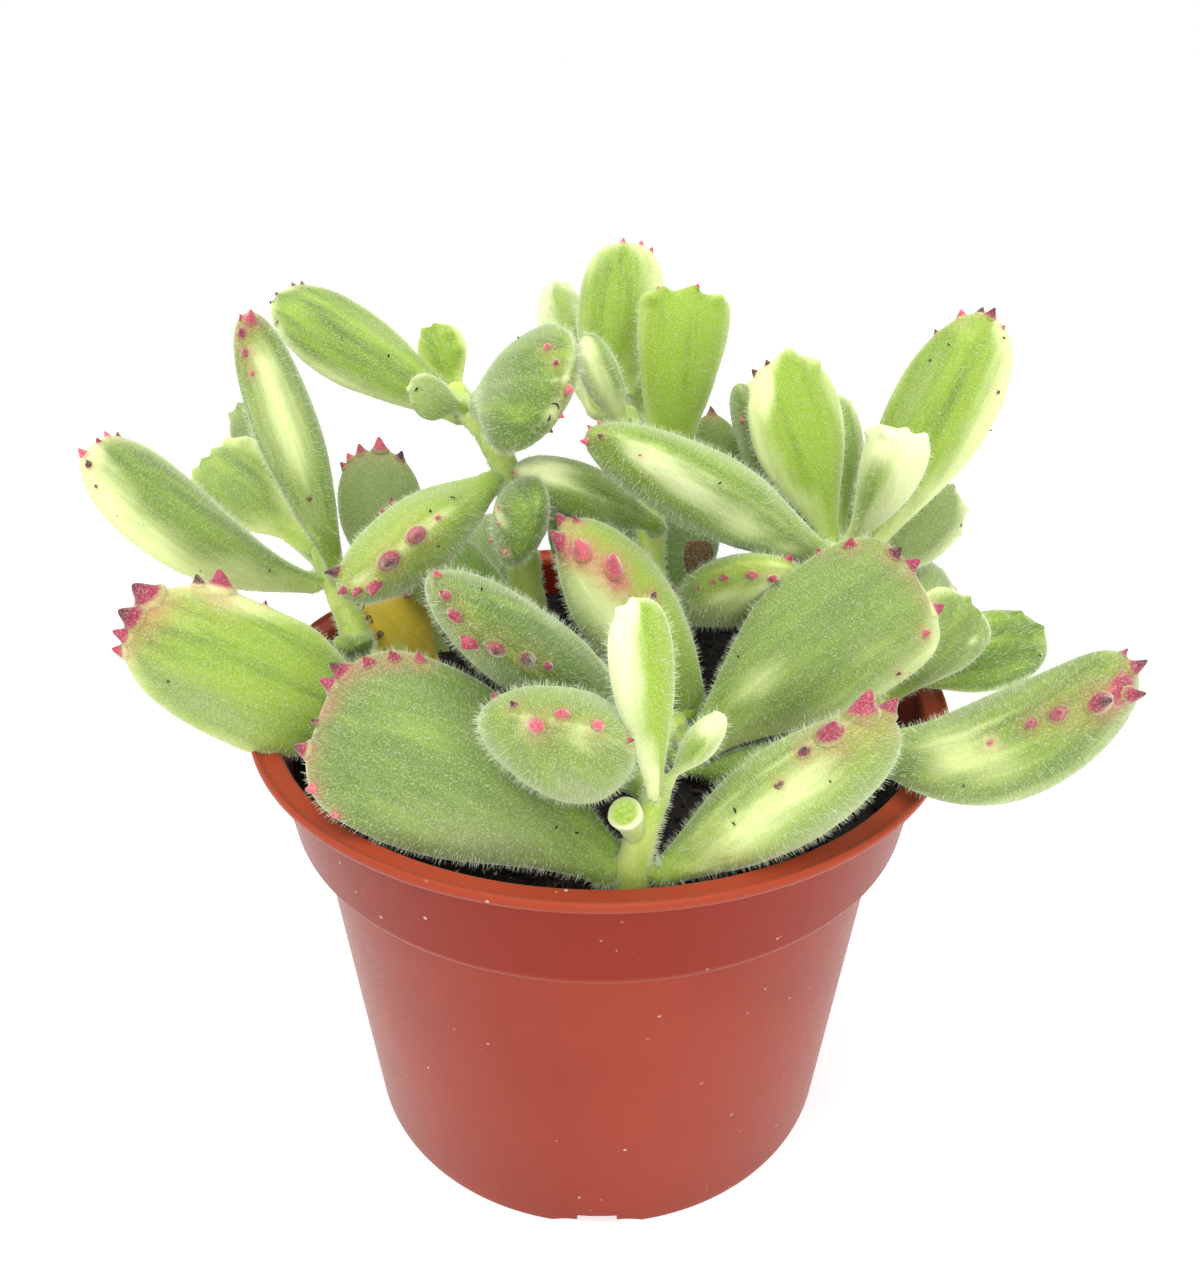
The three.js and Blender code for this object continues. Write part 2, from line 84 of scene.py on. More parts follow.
def waves(places: Array, seed: int, rough: float = 0.55, octaves: int = 4) -> Array:
    """Soft noise: sines along random directions, each octave finer and weaker.

    Args:
        places: Points, with the coordinates on the last axis, in wavelengths.
        seed: Which noise.
        rough: How much of its strength each finer octave keeps.
        octaves: How many octaves.

    Returns:
        One value for each point, about -1 to 1.
    """
    rng = np.random.default_rng(seed)
    total = np.zeros(places.shape[:-1])
    strength, scale, most = 1.0, 1.0, 0.0
    for _ in range(octaves):
        for _ in range(4):
            way = unit(rng.normal(size=places.shape[-1])) * scale * 2 * math.pi
            total = total + strength * np.sin(places @ way + rng.uniform(0, 2 * math.pi))
        most += 2.0 * strength
        strength *= rough
        scale *= 1.9
    return total / most


@dataclass
class Shell:
    """A closed surface: points in millimetres, faces, and named values for each point."""

    points: Array
    quads: Array
    tris: Array
    marks: dict[str, Array] = field(default_factory=dict)
    finish: int = 0


def join(shells: list[Shell]) -> tuple[Array, Array, Array, dict[str, Array], Array]:
    """Puts shells into one set of points and faces.

    Args:
        shells: The shells to join; a mark that one of them lacks is 0 there.

    Returns:
        Points, quads, triangles, marks and the finish number of each face, quads first.
    """
    names = {name: marks.shape[1:] for shell in shells for name, marks in shell.marks.items()}
    starts = np.cumsum([0] + [len(shell.points) for shell in shells[:-1]])
    points = np.concatenate([shell.points for shell in shells])
    quads = np.concatenate([shell.quads.reshape(-1, 4) + at for shell, at in zip(shells, starts)])
    tris = np.concatenate([shell.tris.reshape(-1, 3) + at for shell, at in zip(shells, starts)])
    marks = {
        name: np.concatenate([
            shell.marks.get(name, np.zeros((len(shell.points), *shape))) for shell in shells
        ])
        for name, shape in names.items()
    }
    finishes = np.concatenate(
        [np.full(shell.quads.size // 4, shell.finish) for shell in shells]
        + [np.full(shell.tris.size // 3, shell.finish) for shell in shells]
    )
    return points, quads, tris, marks, finishes


def make_piece(name: str, shells: list[Shell], finishes: list[bpy.types.Material],
               replaces: tuple[str, ...] = (), smooth: bool = True) -> bpy.types.Object:
    """Makes a piece that rides on the part, from shells.

    Args:
        name: The piece's name.
        shells: Its surfaces, in millimetres.
        finishes: Its materials, in the order of the shells' finish numbers.
        replaces: The CAD nodes that it stands for.
        smooth: Whether its faces are shaded smooth.

    Returns:
        The new object.
    """
    points, quads, tris, marks, numbers = join(shells)
    mesh = bpy.data.meshes.new(name)
    corners = np.concatenate([quads.ravel(), tris.ravel()]).astype(np.int32)
    sizes = np.concatenate([np.full(len(quads), 4), np.full(len(tris), 3)])
    mesh.vertices.add(len(points))
    mesh.loops.add(len(corners))
    mesh.polygons.add(len(sizes))
    mesh.vertices.foreach_set("co", (points * MM).astype(np.float32).ravel())
    mesh.loops.foreach_set("vertex_index", corners)
    mesh.polygons.foreach_set("loop_start", (np.cumsum(sizes) - sizes).astype(np.int32))
    mesh.polygons.foreach_set("material_index", numbers.astype(np.int32))
    mesh.polygons.foreach_set("use_smooth", np.full(len(sizes), smooth))
    spread = marks.pop("bake", None)
    if spread is not None:
        layer = mesh.uv_layers.new(name="OFBake")
        layer.data.foreach_set("uv", spread[corners].astype(np.float32).ravel())
    for label, values in marks.items():
        kind, key = ("FLOAT_VECTOR", "vector") if values.ndim == 2 else ("FLOAT", "value")
        layer = mesh.attributes.new(label, kind, "POINT")
        layer.data.foreach_set(key, values.astype(np.float32).ravel())
    mesh.update(calc_edges=True)
    mesh.validate()
    for finish in finishes:
        mesh.materials.append(finish)
    piece = bpy.data.objects.new(name, mesh)
    bpy.context.scene.collection.objects.link(piece)
    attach(piece, BODY)
    if replaces:
        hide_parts(*replaces)
    log.info("%s: %d points, %d faces", name, len(points), len(sizes))
    return piece


def wrapped(rings: Array, first: Array, last: Array) -> tuple[Array, Array, Array]:
    """A closed skin over rings of points, with a point at each end.

    Ring points run by the right hand round the way from the first to the last, so that the faces
    point outwards.

    Args:
        rings: Points, as ring, place in the ring and coordinate.
        first: The point before the first ring.
        last: The point after the last ring.

    Returns:
        Points, quads and triangles.
    """
    count, sides = rings.shape[:2]
    points = np.concatenate([rings.reshape(-1, 3), first[None], last[None]])
    place = np.arange(sides)
    follow = (place + 1) % sides
    start = (np.arange(count - 1) * sides)[:, None]
    quads = np.stack([start + place, start + follow, start + follow + sides,
                      start + place + sides], -1).reshape(-1, 4)
    end = (count - 1) * sides
    head = np.stack([np.full(sides, count * sides), follow, place], 1)
    tail = np.stack([end + place, end + follow, np.full(sides, count * sides + 1)], 1)
    return points, quads, np.concatenate([head, tail])


def many(points: Array, quads: Array, tris: Array) -> tuple[Array, Array, Array]:
    """Repeats one set of faces over many sets of points.

    Args:
        points: Points, as copy, point and coordinate.
        quads: The quads of one copy.
        tris: The triangles of one copy.

    Returns:
        All the points, quads and triangles.
    """
    copies, size = points.shape[:2]
    start = (np.arange(copies) * size)[:, None, None]
    return (points.reshape(-1, 3), (quads[None] + start).reshape(-1, 4),
            (tris[None] + start).reshape(-1, 3))


def threads(line: Array, over: Array, thick: Array, sides: int = 4) -> tuple[Array, Array, Array]:
    """Closed thin skins round bent lines.

    Args:
        line: The centre points, as thread, step and coordinate.
        over: A way across each line, to measure its rings from, for each step.
        thick: The radius, for each thread and step.
        sides: How many points go round.

    Returns:
        Points, quads and triangles.
    """
    along = unit(np.gradient(line, axis=1))
    side = unit(np.cross(over, along))
    over = np.cross(along, side)
    turn = 2 * np.pi * np.arange(sides) / sides
    ring = side[:, :, None] * np.cos(turn)[:, None] + over[:, :, None] * np.sin(turn)[:, None]
    rings = line[:, :, None] + ring * thick[:, :, None, None]
    _, quads, tris = wrapped(rings[0], line[0, 0], line[0, -1])
    ends = np.stack([line[:, 0], line[:, -1]], 1)
    return many(np.concatenate([rings.reshape(len(line), -1, 3), ends], 1), quads, tris)


class Nodes:
    """A material's or a world's node tree, built by short calls."""

    def __init__(self, name: str, world: bool = False) -> None:
        """Starts a material or a world with only its output.

        Args:
            name: Its name.
            world: Whether it is a world.
        """
        self.owner = (bpy.data.worlds if world else bpy.data.materials).new(name)
        self.owner.use_nodes = True
        self.tree = self.owner.node_tree
        self.tree.nodes.clear()
        self.output = self.tree.nodes.new("ShaderNodeOutput" + ("World" if world else "Material"))

    def add(self, kind: str, inputs: dict | None = None, **settings: object) -> bpy.types.Node:
        """Adds a node.

        Args:
            kind: The node's type, without its ShaderNode prefix.
            inputs: Values or sockets for its inputs, by name or number.
            **settings: The node's own settings.

        Returns:
            The node.
        """
        node = self.tree.nodes.new("ShaderNode" + kind)
        for key, value in settings.items():
            setattr(node, key, value)
        for key, value in (inputs or {}).items():
            self.feed(node.inputs[key], value)
        return node

    def feed(self, socket: bpy.types.NodeSocket, value: object) -> None:
        """Links or sets an input.

        Args:
            socket: The input.
            value: A socket to link, a colour, a vector or a number.
        """
        if isinstance(value, bpy.types.NodeSocket):
            self.tree.links.new(value, socket)
        elif isinstance(value, tuple) and socket.type == "RGBA":
            socket.default_value = (*value[:3], 1.0)
        else:
            socket.default_value = value

    def mark(self, name: str) -> bpy.types.NodeSocket:
        """A number that the mesh holds for each point."""
        return self.add("Attribute", attribute_name=name).outputs["Fac"]

    def mark_vector(self, name: str) -> bpy.types.NodeSocket:
        """A vector that the mesh holds for each point."""
        return self.add("Attribute", attribute_name=name).outputs["Vector"]

    def place(self) -> bpy.types.NodeSocket:
        """The place on the object, in metres."""
        return self.add("TexCoord").outputs["Object"]

    def scaled(self, vector: bpy.types.NodeSocket, scale: Point) -> bpy.types.NodeSocket:
        """A vector with each coordinate multiplied."""
        return self.add("Mapping", {"Vector": vector, "Scale": scale}).outputs["Vector"]

    def math(self, operation: str, first: object, second: object = 0.0,
             clamp: bool = False) -> bpy.types.NodeSocket:
        """Arithmetic on two numbers.

        Args:
            operation: The Math node's operation.
            first: The first number or socket.
            second: The second number or socket.
            clamp: Whether the result is kept from 0 to 1.

        Returns:
            The result.
        """
        node = self.add("Math", {0: first, 1: second}, operation=operation, use_clamp=clamp)
        return node.outputs[0]

    def range(self, value: object, low: float, high: float, to_low: float = 0.0,
              to_high: float = 1.0, soft: bool = True) -> bpy.types.NodeSocket:
        """A number carried from one range to another, and kept inside it.

        Args:
            value: The number or socket.
            low: The range's start.
            high: The range's end.
            to_low: What low becomes.
            to_high: What high becomes.
            soft: Whether the change eases in and out.

        Returns:
            The result.
        """
        names = {"Value": value, "From Min": low, "From Max": high, "To Min": to_low,
                 "To Max": to_high}
        kind = "SMOOTHSTEP" if soft else "LINEAR"
        return self.add("MapRange", names, interpolation_type=kind).outputs["Result"]

    def noise(self, vector: bpy.types.NodeSocket, scale: float, detail: float = 3.0,
              rough: float = 0.55, bend: float = 0.0) -> bpy.types.NodeSocket:
        """Cloudy noise from 0 to 1.

        Args:
            vector: Where to read it.
            scale: How many clouds a unit of length has.
            detail: How many finer octaves it has.
            rough: How strong those are.
            bend: How much it is distorted.

        Returns:
            The noise.
        """
        names = {"Vector": vector, "Scale": scale, "Detail": detail, "Roughness": rough,
                 "Distortion": bend}
        return self.add("TexNoise", names).outputs["Fac"]

    def mix(self, share: object, first: object, second: object) -> bpy.types.NodeSocket:
        """A colour between two others.

        Args:
            share: How much of the second there is.
            first: The first colour or socket.
            second: The second colour or socket.

        Returns:
            The colour.
        """
        node = self.add("Mix", data_type="RGBA", blend_type="MIX", clamp_result=True)
        self.feed(node.inputs[0], share)
        self.feed(node.inputs[6], first)
        self.feed(node.inputs[7], second)
        return node.outputs[2]

    def bump(self, height: bpy.types.NodeSocket, depth: float,
             normal: bpy.types.NodeSocket | None = None) -> bpy.types.NodeSocket:
        """A normal tilted by a height.

        Args:
            height: The height, from 0 to 1.
            depth: How deep it is, in metres.
            normal: The normal to start from.

        Returns:
            The normal.
        """
        inputs = {"Height": height, "Distance": depth, "Strength": 1.0}
        if normal is not None:
            inputs["Normal"] = normal
        return self.add("Bump", inputs).outputs["Normal"]

    def surface(self, colour: object, rough: object, normal: object = None,
                **constants: object) -> bpy.types.Material:
        """Ends the tree in one surface shader.

        Args:
            colour: The base colour or its socket.
            rough: The roughness or its socket.
            normal: The normal's socket.
            **constants: Other inputs, with underscores for the blanks in their names.

        Returns:
            The finished material.
        """
        inputs: dict[str, object] = {"Base Color": colour, "Roughness": rough}
        if normal is not None:
            inputs["Normal"] = normal
        for key, value in constants.items():
            inputs[key.replace("_", " ")] = value
        shader = self.add("BsdfPrincipled", inputs)
        self.feed(self.output.inputs["Surface"], shader.outputs[0])
        return self.owner


@dataclass(frozen=True)
class LeafFinish:
    """Fleshy variegated leaf: streaked greens, ragged pale margins, rosy tips and crimson claws."""

    deep_green: Colour = (0.072, 0.150, 0.003)
    light_green: Colour = (0.275, 0.420, 0.022)
    grey_green: Colour = (0.250, 0.315, 0.110)
    cream: Colour = (0.87, 0.91, 0.58)
    yellow: Colour = (0.74, 0.85, 0.27)
    gold: Colour = (0.86, 0.62, 0.03)
    rose: Colour = (0.50, 0.13, 0.12)
    pink: Colour = (0.62, 0.10, 0.15)
    crimson: Colour = (0.28, 0.020, 0.060)
    maroon: Colour = (0.080, 0.016, 0.022)
    scar: Colour = (0.13, 0.055, 0.02)
    down: Colour = (0.88, 0.93, 0.78)
    streak_scale: Point = (1.0, 0.075, 1.0)

    def material(self) -> bpy.types.Material:
        """The node material, read from the values that each leaf's mesh holds.

        Returns:
            The material.
        """
        n = Nodes("variegated_leaf")
        lay = n.mark_vector("lay")
        along = n.scaled(lay, self.streak_scale)
        streaks = n.noise(along, 0.55, 4.0, 0.6)
        fingers = n.noise(along, 0.85, 5.0, 0.62)
        mottle = n.noise(lay, 0.9, 4.0, 0.6)
        wave = n.math("MULTIPLY", n.math("SUBTRACT", streaks, 0.5), n.mark("streak"))
        depth = n.range(n.math("ADD", wave, n.mark("shade")), -0.28, 0.26)
        green = n.mix(depth, self.light_green, self.deep_green)
        green = n.mix(n.math("MULTIPLY", n.mark("bloom"), n.range(mottle, 0.3, 0.7, 0.7, 1.0), True),
                      green, self.grey_green)
        edge = n.math("MULTIPLY", n.math("SUBTRACT", fingers, 0.5), n.mark("rag"))
        pale = n.math("MULTIPLY", n.range(n.math("ADD", n.mark("pale"), edge), -0.05, 1.1),
                      n.range(streaks, 0.35, 0.7, 0.97, 0.76))
        yellow = n.mark("yellow")
        cream = n.mix(n.range(yellow, 0.0, 1.0, soft=False), self.cream, self.yellow)
        cream = n.mix(n.range(yellow, 1.2, 1.8), cream, self.gold)
        colour = n.mix(pale, green, cream)
        blush = n.math("MULTIPLY", n.mark("blush"), n.range(mottle, 0.25, 0.7, 0.6, 1.0), True)
        colour = n.mix(blush, colour, self.rose)
        claw, ripe = n.mark("claw"), n.mark("ripe")
        horn = n.mix(n.range(n.math("ADD", ripe, mottle), 0.1, 1.0), self.pink, self.crimson)
        horn = n.mix(n.range(n.math("ADD", claw, ripe), 1.1, 1.9), horn, self.maroon)
        colour = n.mix(n.range(claw, 0.0, 0.24), colour, horn)
        hurt = n.math("MULTIPLY", n.mark("scar"), n.range(n.noise(lay, 2.6, 4.0), 0.32, 0.55))
        colour = n.mix(n.range(hurt, 0.25, 0.6), colour, self.scar)
        fuzz = n.noise(n.place(), 5000.0, 2.0, 0.7)
        colour = n.mix(n.range(fuzz, 0.45, 0.75, 0.0, 0.24), colour, self.down)
        relief = n.bump(fuzz, 0.00008, n.bump(streaks, 0.00010))
        rough = n.range(mottle, 0.3, 0.7, 0.5, 0.64)
        return n.surface(colour, rough, relief, Subsurface_Weight=0.15, Subsurface_Scale=0.0014,
                         Subsurface_Radius=(0.9, 1.0, 0.35), Sheen_Weight=0.75,
                         Sheen_Roughness=0.42, Sheen_Tint=(0.95, 1.0, 0.76, 1.0),
                         Specular_IOR_Level=0.20)


@dataclass(frozen=True)
class StemFinish:
    """Fleshy yellow-green stem, paler at its cut end."""

    green: Colour = (0.400, 0.560, 0.055)
    light: Colour = (0.560, 0.670, 0.160)
    cut: Colour = (0.340, 0.600, 0.030)
    rim: Colour = (0.80, 0.84, 0.50)

    def material(self) -> bpy.types.Material:
        """The node material.

        Returns:
            The material.
        """
        n = Nodes("stem_flesh")
        place = n.place()
        cloud = n.noise(n.scaled(place, (1.0, 1.0, 0.4)), 420.0, 4.0, 0.6)
        fuzz = n.noise(place, 5200.0, 2.0, 0.7)
        colour = n.mix(n.range(cloud, 0.35, 0.65), self.green, self.light)
        speckled = n.mix(n.range(n.noise(place, 2400.0, 3.0), 0.4, 0.6), self.cut, self.light)
        colour = n.mix(n.mark("cut"), colour, speckled)
        colour = n.mix(n.mark("rim"), colour, self.rim)
        colour = n.mix(n.range(fuzz, 0.5, 0.72, 0.0, 0.25), colour, (0.86, 0.9, 0.78))
        relief = n.bump(fuzz, 0.00006, n.bump(cloud, 0.0002))
        return n.surface(colour, n.range(cloud, 0.3, 0.7, 0.5, 0.65), relief,
                         Subsurface_Weight=0.15, Subsurface_Scale=0.0015,
                         Subsurface_Radius=(0.9, 1.0, 0.35), Sheen_Weight=0.35)


@dataclass(frozen=True)
class HairFinish:
    """Fine translucent hair, greener at its root and white at its tip."""

    root: Colour = (0.50, 0.62, 0.26)
    tip: Colour = (0.95, 0.97, 0.88)

    def material(self) -> bpy.types.Material:
        """The node material.

        Returns:
            The material.
        """
        n = Nodes("white_hair")
        tint = n.noise(n.place(), 160.0, 2.0)
        share = n.math("ADD", n.mark("rise"), n.range(tint, 0.3, 0.7, -0.12, 0.12), True)
        colour = n.mix(share, self.root, self.tip)
        return n.surface(colour, n.range(tint, 0.3, 0.7, 0.5, 0.65), Specular_IOR_Level=0.3,
                         Transmission_Weight=0.0, Subsurface_Weight=0.0)


@dataclass(frozen=True)
class PotFinish:
    """Satin terracotta-brown plastic with faint clouds, scratches and dust; painted shade darkens its
    collar and painted light brightens its lip.
    """

    body: Colour = (0.250, 0.029, 0.012)
    warm: Colour = (0.280, 0.036, 0.016)
    # collar is painted shade: the darker colour of the band under the lip's overhang.
    collar: Colour = (0.222, 0.018, 0.006)
    # lip is painted light: the lighter, warmer colour of the lip's lit top.
    lip: Colour = (0.310, 0.045, 0.018)
    dust: Colour = (0.75, 0.62, 0.56)
    scratch: Colour = (0.62, 0.30, 0.24)

    def material(self) -> bpy.types.Material:
        """The node material.

        Returns:
            The material.
        """
        n = Nodes("pot_plastic")
        place = n.place()
        cloud = n.noise(place, 38.0, 3.0, 0.5)
        grain = n.noise(place, 2600.0, 2.0, 0.6)
        colour = n.mix(n.range(cloud, 0.35, 0.65), self.body, self.warm)
        height = n.add("SeparateXYZ", {0: place}).outputs["Z"]
        # Painted shade: above the collar's foot the colour turns darker, for the shade under the lip.
        colour = n.mix(n.range(height, 0.0460, 0.0475), colour, self.collar)
        # Painted light: above 59 mm the lip takes a lighter, more orange colour, for the light that
        # falls on its top.
        colour = n.mix(n.range(height, 0.0584, 0.0592), colour, self.lip)
        specks = n.add("TexVoronoi", {"Vector": place, "Scale": 620.0, "Randomness": 1.0},
                       feature="F1")
        sparse = n.noise(place, 210.0, 2.0)
        dots = n.math("MULTIPLY", n.range(specks.outputs["Distance"], 0.16, 0.09),
                      n.range(sparse, 0.60, 0.68))
        lines = n.noise(n.scaled(place, (1.0, 1.0, 0.05)), 900.0, 3.0, 0.6, 0.6)
        thin = n.math("MULTIPLY", n.range(lines, 0.70, 0.76), n.range(sparse, 0.5, 0.6))
        colour = n.mix(n.math("MULTIPLY", thin, 0.35), colour, self.scratch)
        colour = n.mix(n.math("MULTIPLY", dots, 0.6), colour, self.dust)
        relief = n.bump(grain, 0.000012, n.bump(cloud, 0.00022))
        rough = n.math("ADD", n.range(grain, 0.3, 0.7, 0.34, 0.42), n.math("MULTIPLY", dots, 0.3))
        return n.surface(colour, rough, relief, Specular_IOR_Level=0.10, Sheen_Weight=0.10,
                         Sheen_Roughness=0.40, Sheen_Tint=(1.0, 0.86, 0.80, 1.0))


@dataclass(frozen=True)
class SoilFinish:
    """Near-black damp peat with browner crumbs and pale fibres."""

    peat: Colour = (0.006, 0.005, 0.0045)
    crumb: Colour = (0.019, 0.014, 0.010)
    grain: Colour = (0.42, 0.28, 0.12)
    fibre: Colour = (0.055, 0.036, 0.020)

    def material(self) -> bpy.types.Material:
        """The node material; a point's mark says whether it is peat, fibre or grain.

        Returns:
            The material.
        """
        n = Nodes("peat_soil")
        place = n.place()
        coarse = n.noise(place, 700.0, 5.0, 0.65)
        fine = n.noise(place, 3000.0, 3.0, 0.7)
        colour = n.mix(n.range(coarse, 0.42, 0.68), self.peat, self.crumb)
        colour = n.mix(n.range(n.mark("fibre"), 0.1, 0.9), colour, self.fibre)
        colour = n.mix(n.range(n.mark("tan"), 0.1, 0.9), colour, self.grain)
        relief = n.bump(fine, 0.00012, n.bump(coarse, 0.0004))
        return n.surface(colour, n.range(coarse, 0.3, 0.7, 0.7, 0.95), relief,
                         Specular_IOR_Level=0.25)


@dataclass(frozen=True)
class FloorFinish:
    """Plain pale tabletop."""

    white: Colour = (0.58, 0.58, 0.58)
    glow: float = 0.50

    def material(self) -> bpy.types.Material:
        """The node material.

        Returns:
            The material.
        """
        n = Nodes("pale_floor")
        cloud = n.noise(n.place(), 6.0, 2.0)
        colour = n.mix(n.range(cloud, 0.2, 0.8), self.white, (0.60, 0.60, 0.60))
        return n.surface(colour, 0.85, Specular_IOR_Level=0.1, Emission_Color=(1.0, 1.0, 1.0, 1.0),
                         Emission_Strength=self.glow)


class Claw(Enum):
    """How dark a claw has ripened; a leaf-coloured one is only a point of the margin."""

    LEAF = -2.0
    PINK = -0.2
    CRIMSON = 0.3
    MAROON = 0.8
    BROWN = 1.3


LEAF, PINK, CRIMSON, MAROON, BROWN = Claw


@dataclass(frozen=True)
class Tooth:
    """A claw: the share of the leaf's length, the angle round it in degrees and its width."""

    s: float
    angle: float
    size: float
    claw: Claw = CRIMSON


@dataclass(frozen=True)
class Dab:
    """A soft spot of one of the leaf's marks.

    It lies at a share of the leaf's length and an angle round it in degrees, and reaches across
    and along by the given millimetres.
    """

    mark: str
    s: float
    angle: float
    across: float
    along: float
    amount: float


@dataclass(frozen=True)
class Speck:
    """A curl of dark peat on a leaf: the share of its length, the angle round it and its length."""

    s: float
    angle: float
    length: float


@dataclass(frozen=True)
class Coat:
    """A leaf's colouring.

    left and right are the widths of its pale margins in millimetres and soft how far they fade,
    yellow is how yellow they are, shade how deep the green is, bloom how grey it is, streak how
    strong its streaks are, rag how ragged the pale margins are and blush how rosy the skin is
    round its claws.
    """

    left: float = 0.2
    right: float = 0.2
    soft: float = 1.6
    yellow: float = 0.5
    shade: float = 0.0
    bloom: float = 0.0
    streak: float = 0.7
    rag: float = 0.7
    blush: float = 0.5


def several(kind: type, *rows: tuple) -> tuple:
    """One thing of a kind for each row of its values."""
    return tuple(kind(*row) for row in rows)


def row_of_teeth(count: int, reach: float, size: float, wide: float = 0.62,
                 claw: Claw = CRIMSON) -> tuple[Tooth, ...]:
    """Claws at even steps along the margin round a leaf's tip, largest at the tip.

    Args:
        count: How many.
        reach: How far they go: 0 is the tip and 1 the widest place.
        size: The largest width.
        wide: Where the leaf is widest.
        claw: How ripe they are.

    Returns:
        The claws.
    """
    places = reach * ((2 * np.arange(count) + 1) / count - 1)
    return tuple(
        Tooth(wide + (1 - wide) * math.cos(math.pi / 2 * min(abs(m), 1.0)),
              0.0 if m > 0 else 180.0, size * (1 - 0.45 * (m / reach) ** 2), claw)
        for m in places
    )


@dataclass(frozen=True)
class Leaf:
    """One leaf, from its base to its tip, as in the part's own source.

    Its centre line runs from start to tip and bows by bend towards its upper face and by sweep
    towards its edge, as shares of its length. The section is an oval as wide and as thick as the
    tapers say. From its base a short neck bends back to the stem. Its claws lean towards its tip
    by hook, as a share of their height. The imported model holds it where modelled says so. foot is
    where its neck enters the stem, and the stem fills that in.
    """

    name: str
    start: Point
    tip: Point
    width: float
    thick: float
    turn: float
    coat: Coat = Coat()
    teeth: tuple[Tooth, ...] = ()
    dabs: tuple[Dab, ...] = ()
    bend: float = 0.0
    sweep: float = 0.0
    wide: float = 0.62
    blunt: float = 2.2
    neck: float = 0.25
    hook: float = 0.3
    specks: tuple[Speck, ...] = ()
    modelled: bool = True
    foot: Point = (0.0, 0.0, 0.0)

    @property
    def seed(self) -> int:
        """A number of its own for its noise."""
        return sum(ord(letter) * (i + 1) for i, letter in enumerate(self.name))

    @property
    def length(self) -> float:
        """The straight distance from its base to its tip."""
        return float(np.linalg.norm(np.subtract(self.tip, self.start)))

    def taper(self, s: Array, wide: float, neck: float, rise: float, blunt: float) -> Array:
        """Half size along it: a sine raised to a power up to the widest place, then a blunt end.

        Args:
            s: Shares of its length.
            wide: Where it is widest.
            neck: Its size at the base.
            rise: The power of the rise.
            blunt: How square the end is.

        Returns:
            Sizes from 0 to 1.
        """
        up = neck + (1 - neck) * np.sin(np.pi / 2 * np.clip(s / wide, 0, 1)) ** rise
        fall = np.clip((s - wide) / (1 - wide), 0, 1)
        return np.where(s < wide, up, (1 - fall**blunt) ** (1 / blunt))

    def frames(self, q: Array) -> tuple[Array, ...]:
        """Its centre line, its axes and its half sizes.

        Args:
            q: Places along it: 0 to 1 is the blade, and -1 to 0 the neck from the stem.

        Returns:
            The middles, the directions along, through and across, the half widths and the
            half thicknesses.
        """
        base, tip, foot = np.array(self.start), np.array(self.tip), np.array(self.foot)
        run = tip - base
        axis = run / self.length
        level = unit(UP - axis * axis[2])
        turn = math.radians(self.turn)
        face = level * math.cos(turn) + np.cross(axis, level) * math.sin(turn)
        bow = (face * self.bend + np.cross(axis, face) * self.sweep) * self.length
        s = np.clip(q, 0, 1)[:, None]
        blade = base + run * s + bow * 4 * s * (1 - s)
        blade_along = run + bow * 4 * (1 - 2 * s)
        t = np.clip(-q, 0, 1)[:, None]
        gap = float(np.linalg.norm(foot - base))
        knee = base - unit(run + 4 * bow) * 0.5 * gap
        neck = base * (1 - t) ** 2 + knee * 2 * t * (1 - t) + foot * t**2
        neck_along = (base - knee) * (1 - t) + (knee - foot) * t
        behind = q[:, None] < 0
        middle = np.where(behind, neck, blade)
        along = unit(np.where(behind, neck_along, blade_along))
        through = unit(face - along * (along @ face)[:, None])
        across = np.cross(along, through)
        half_width = self.width / 2 * self.taper(s[:, 0], self.wide, self.neck, 1.4, self.blunt)
        half_thick = self.thick / 2 * self.taper(s[:, 0], 0.5, 0.35, 1.1, 2.0)
        ease = smooth_step(0, 1, t[:, 0]) * (q < 0)
        half_width = half_width + (FOOT_RADIUS - half_width) * ease
        half_thick = half_thick + (FOOT_RADIUS - half_thick) * ease
        return middle, along, through, across, half_width, half_thick

    def plain(self, q: Array, angle: Array) -> Array:
        """Points on its skin without the swellings at its claws.

        Args:
            q: Places along it, as in frames.
            angle: Angles round it, 0 at one margin and pi at the other.

        Returns:
            The points.
        """
        middle, _, through, across, half_width, half_thick = self.frames(q)
        blade = np.clip(q * 4, 0, 1) * np.clip((1 - q) * 4, 0, 1)
        cosine, sine = np.cos(angle), np.sin(angle)
        lay = np.stack([cosine * half_width, q * self.length, sine * half_thick], -1)
        uneven = waves(lay * np.array([0.09, 0.035, 0.09]), self.seed, 0.5, 3)
        ribs = waves(lay * np.array([0.26, 0.02, 0.1]), self.seed + 7, 0.5, 2)
        swell = (0.045 * uneven + 0.02 * ribs) * blade
        flat = 1 - 0.10 * cosine**2
        return (middle + across * (half_width * cosine * (1 + 0.6 * swell))[:, None]
                + through * (half_thick * sine * flat * (1 + swell))[:, None])

    def normals(self, q: Array, angle: Array) -> tuple[Array, Array]:
        """The ways out of the skin and forwards along it.

        Args:
            q: Places along it.
            angle: Angles round it.

        Returns:
            The ways out and the ways forwards.
        """
        step = 0.003
        q = np.minimum(q, 1 - 2 * step)
        round_it = self.plain(q, angle + step) - self.plain(q, angle - step)
        forward = unit(self.plain(q + step, angle) - self.plain(q - step, angle))
        return unit(np.cross(forward, round_it)), forward

    def roots(self) -> tuple[Array, Array, Array]:
        """Where its claws stand, the ways out there and their widths.

        Returns:
            A point, a direction and a width for each claw.
        """
        q = np.array([min(tooth.s, 0.9995) for tooth in self.teeth])
        angle = np.radians([tooth.angle for tooth in self.teeth])
        size = np.array([tooth.size for tooth in self.teeth])
        return self.plain(q, angle), self.normals(q, angle)[0], size

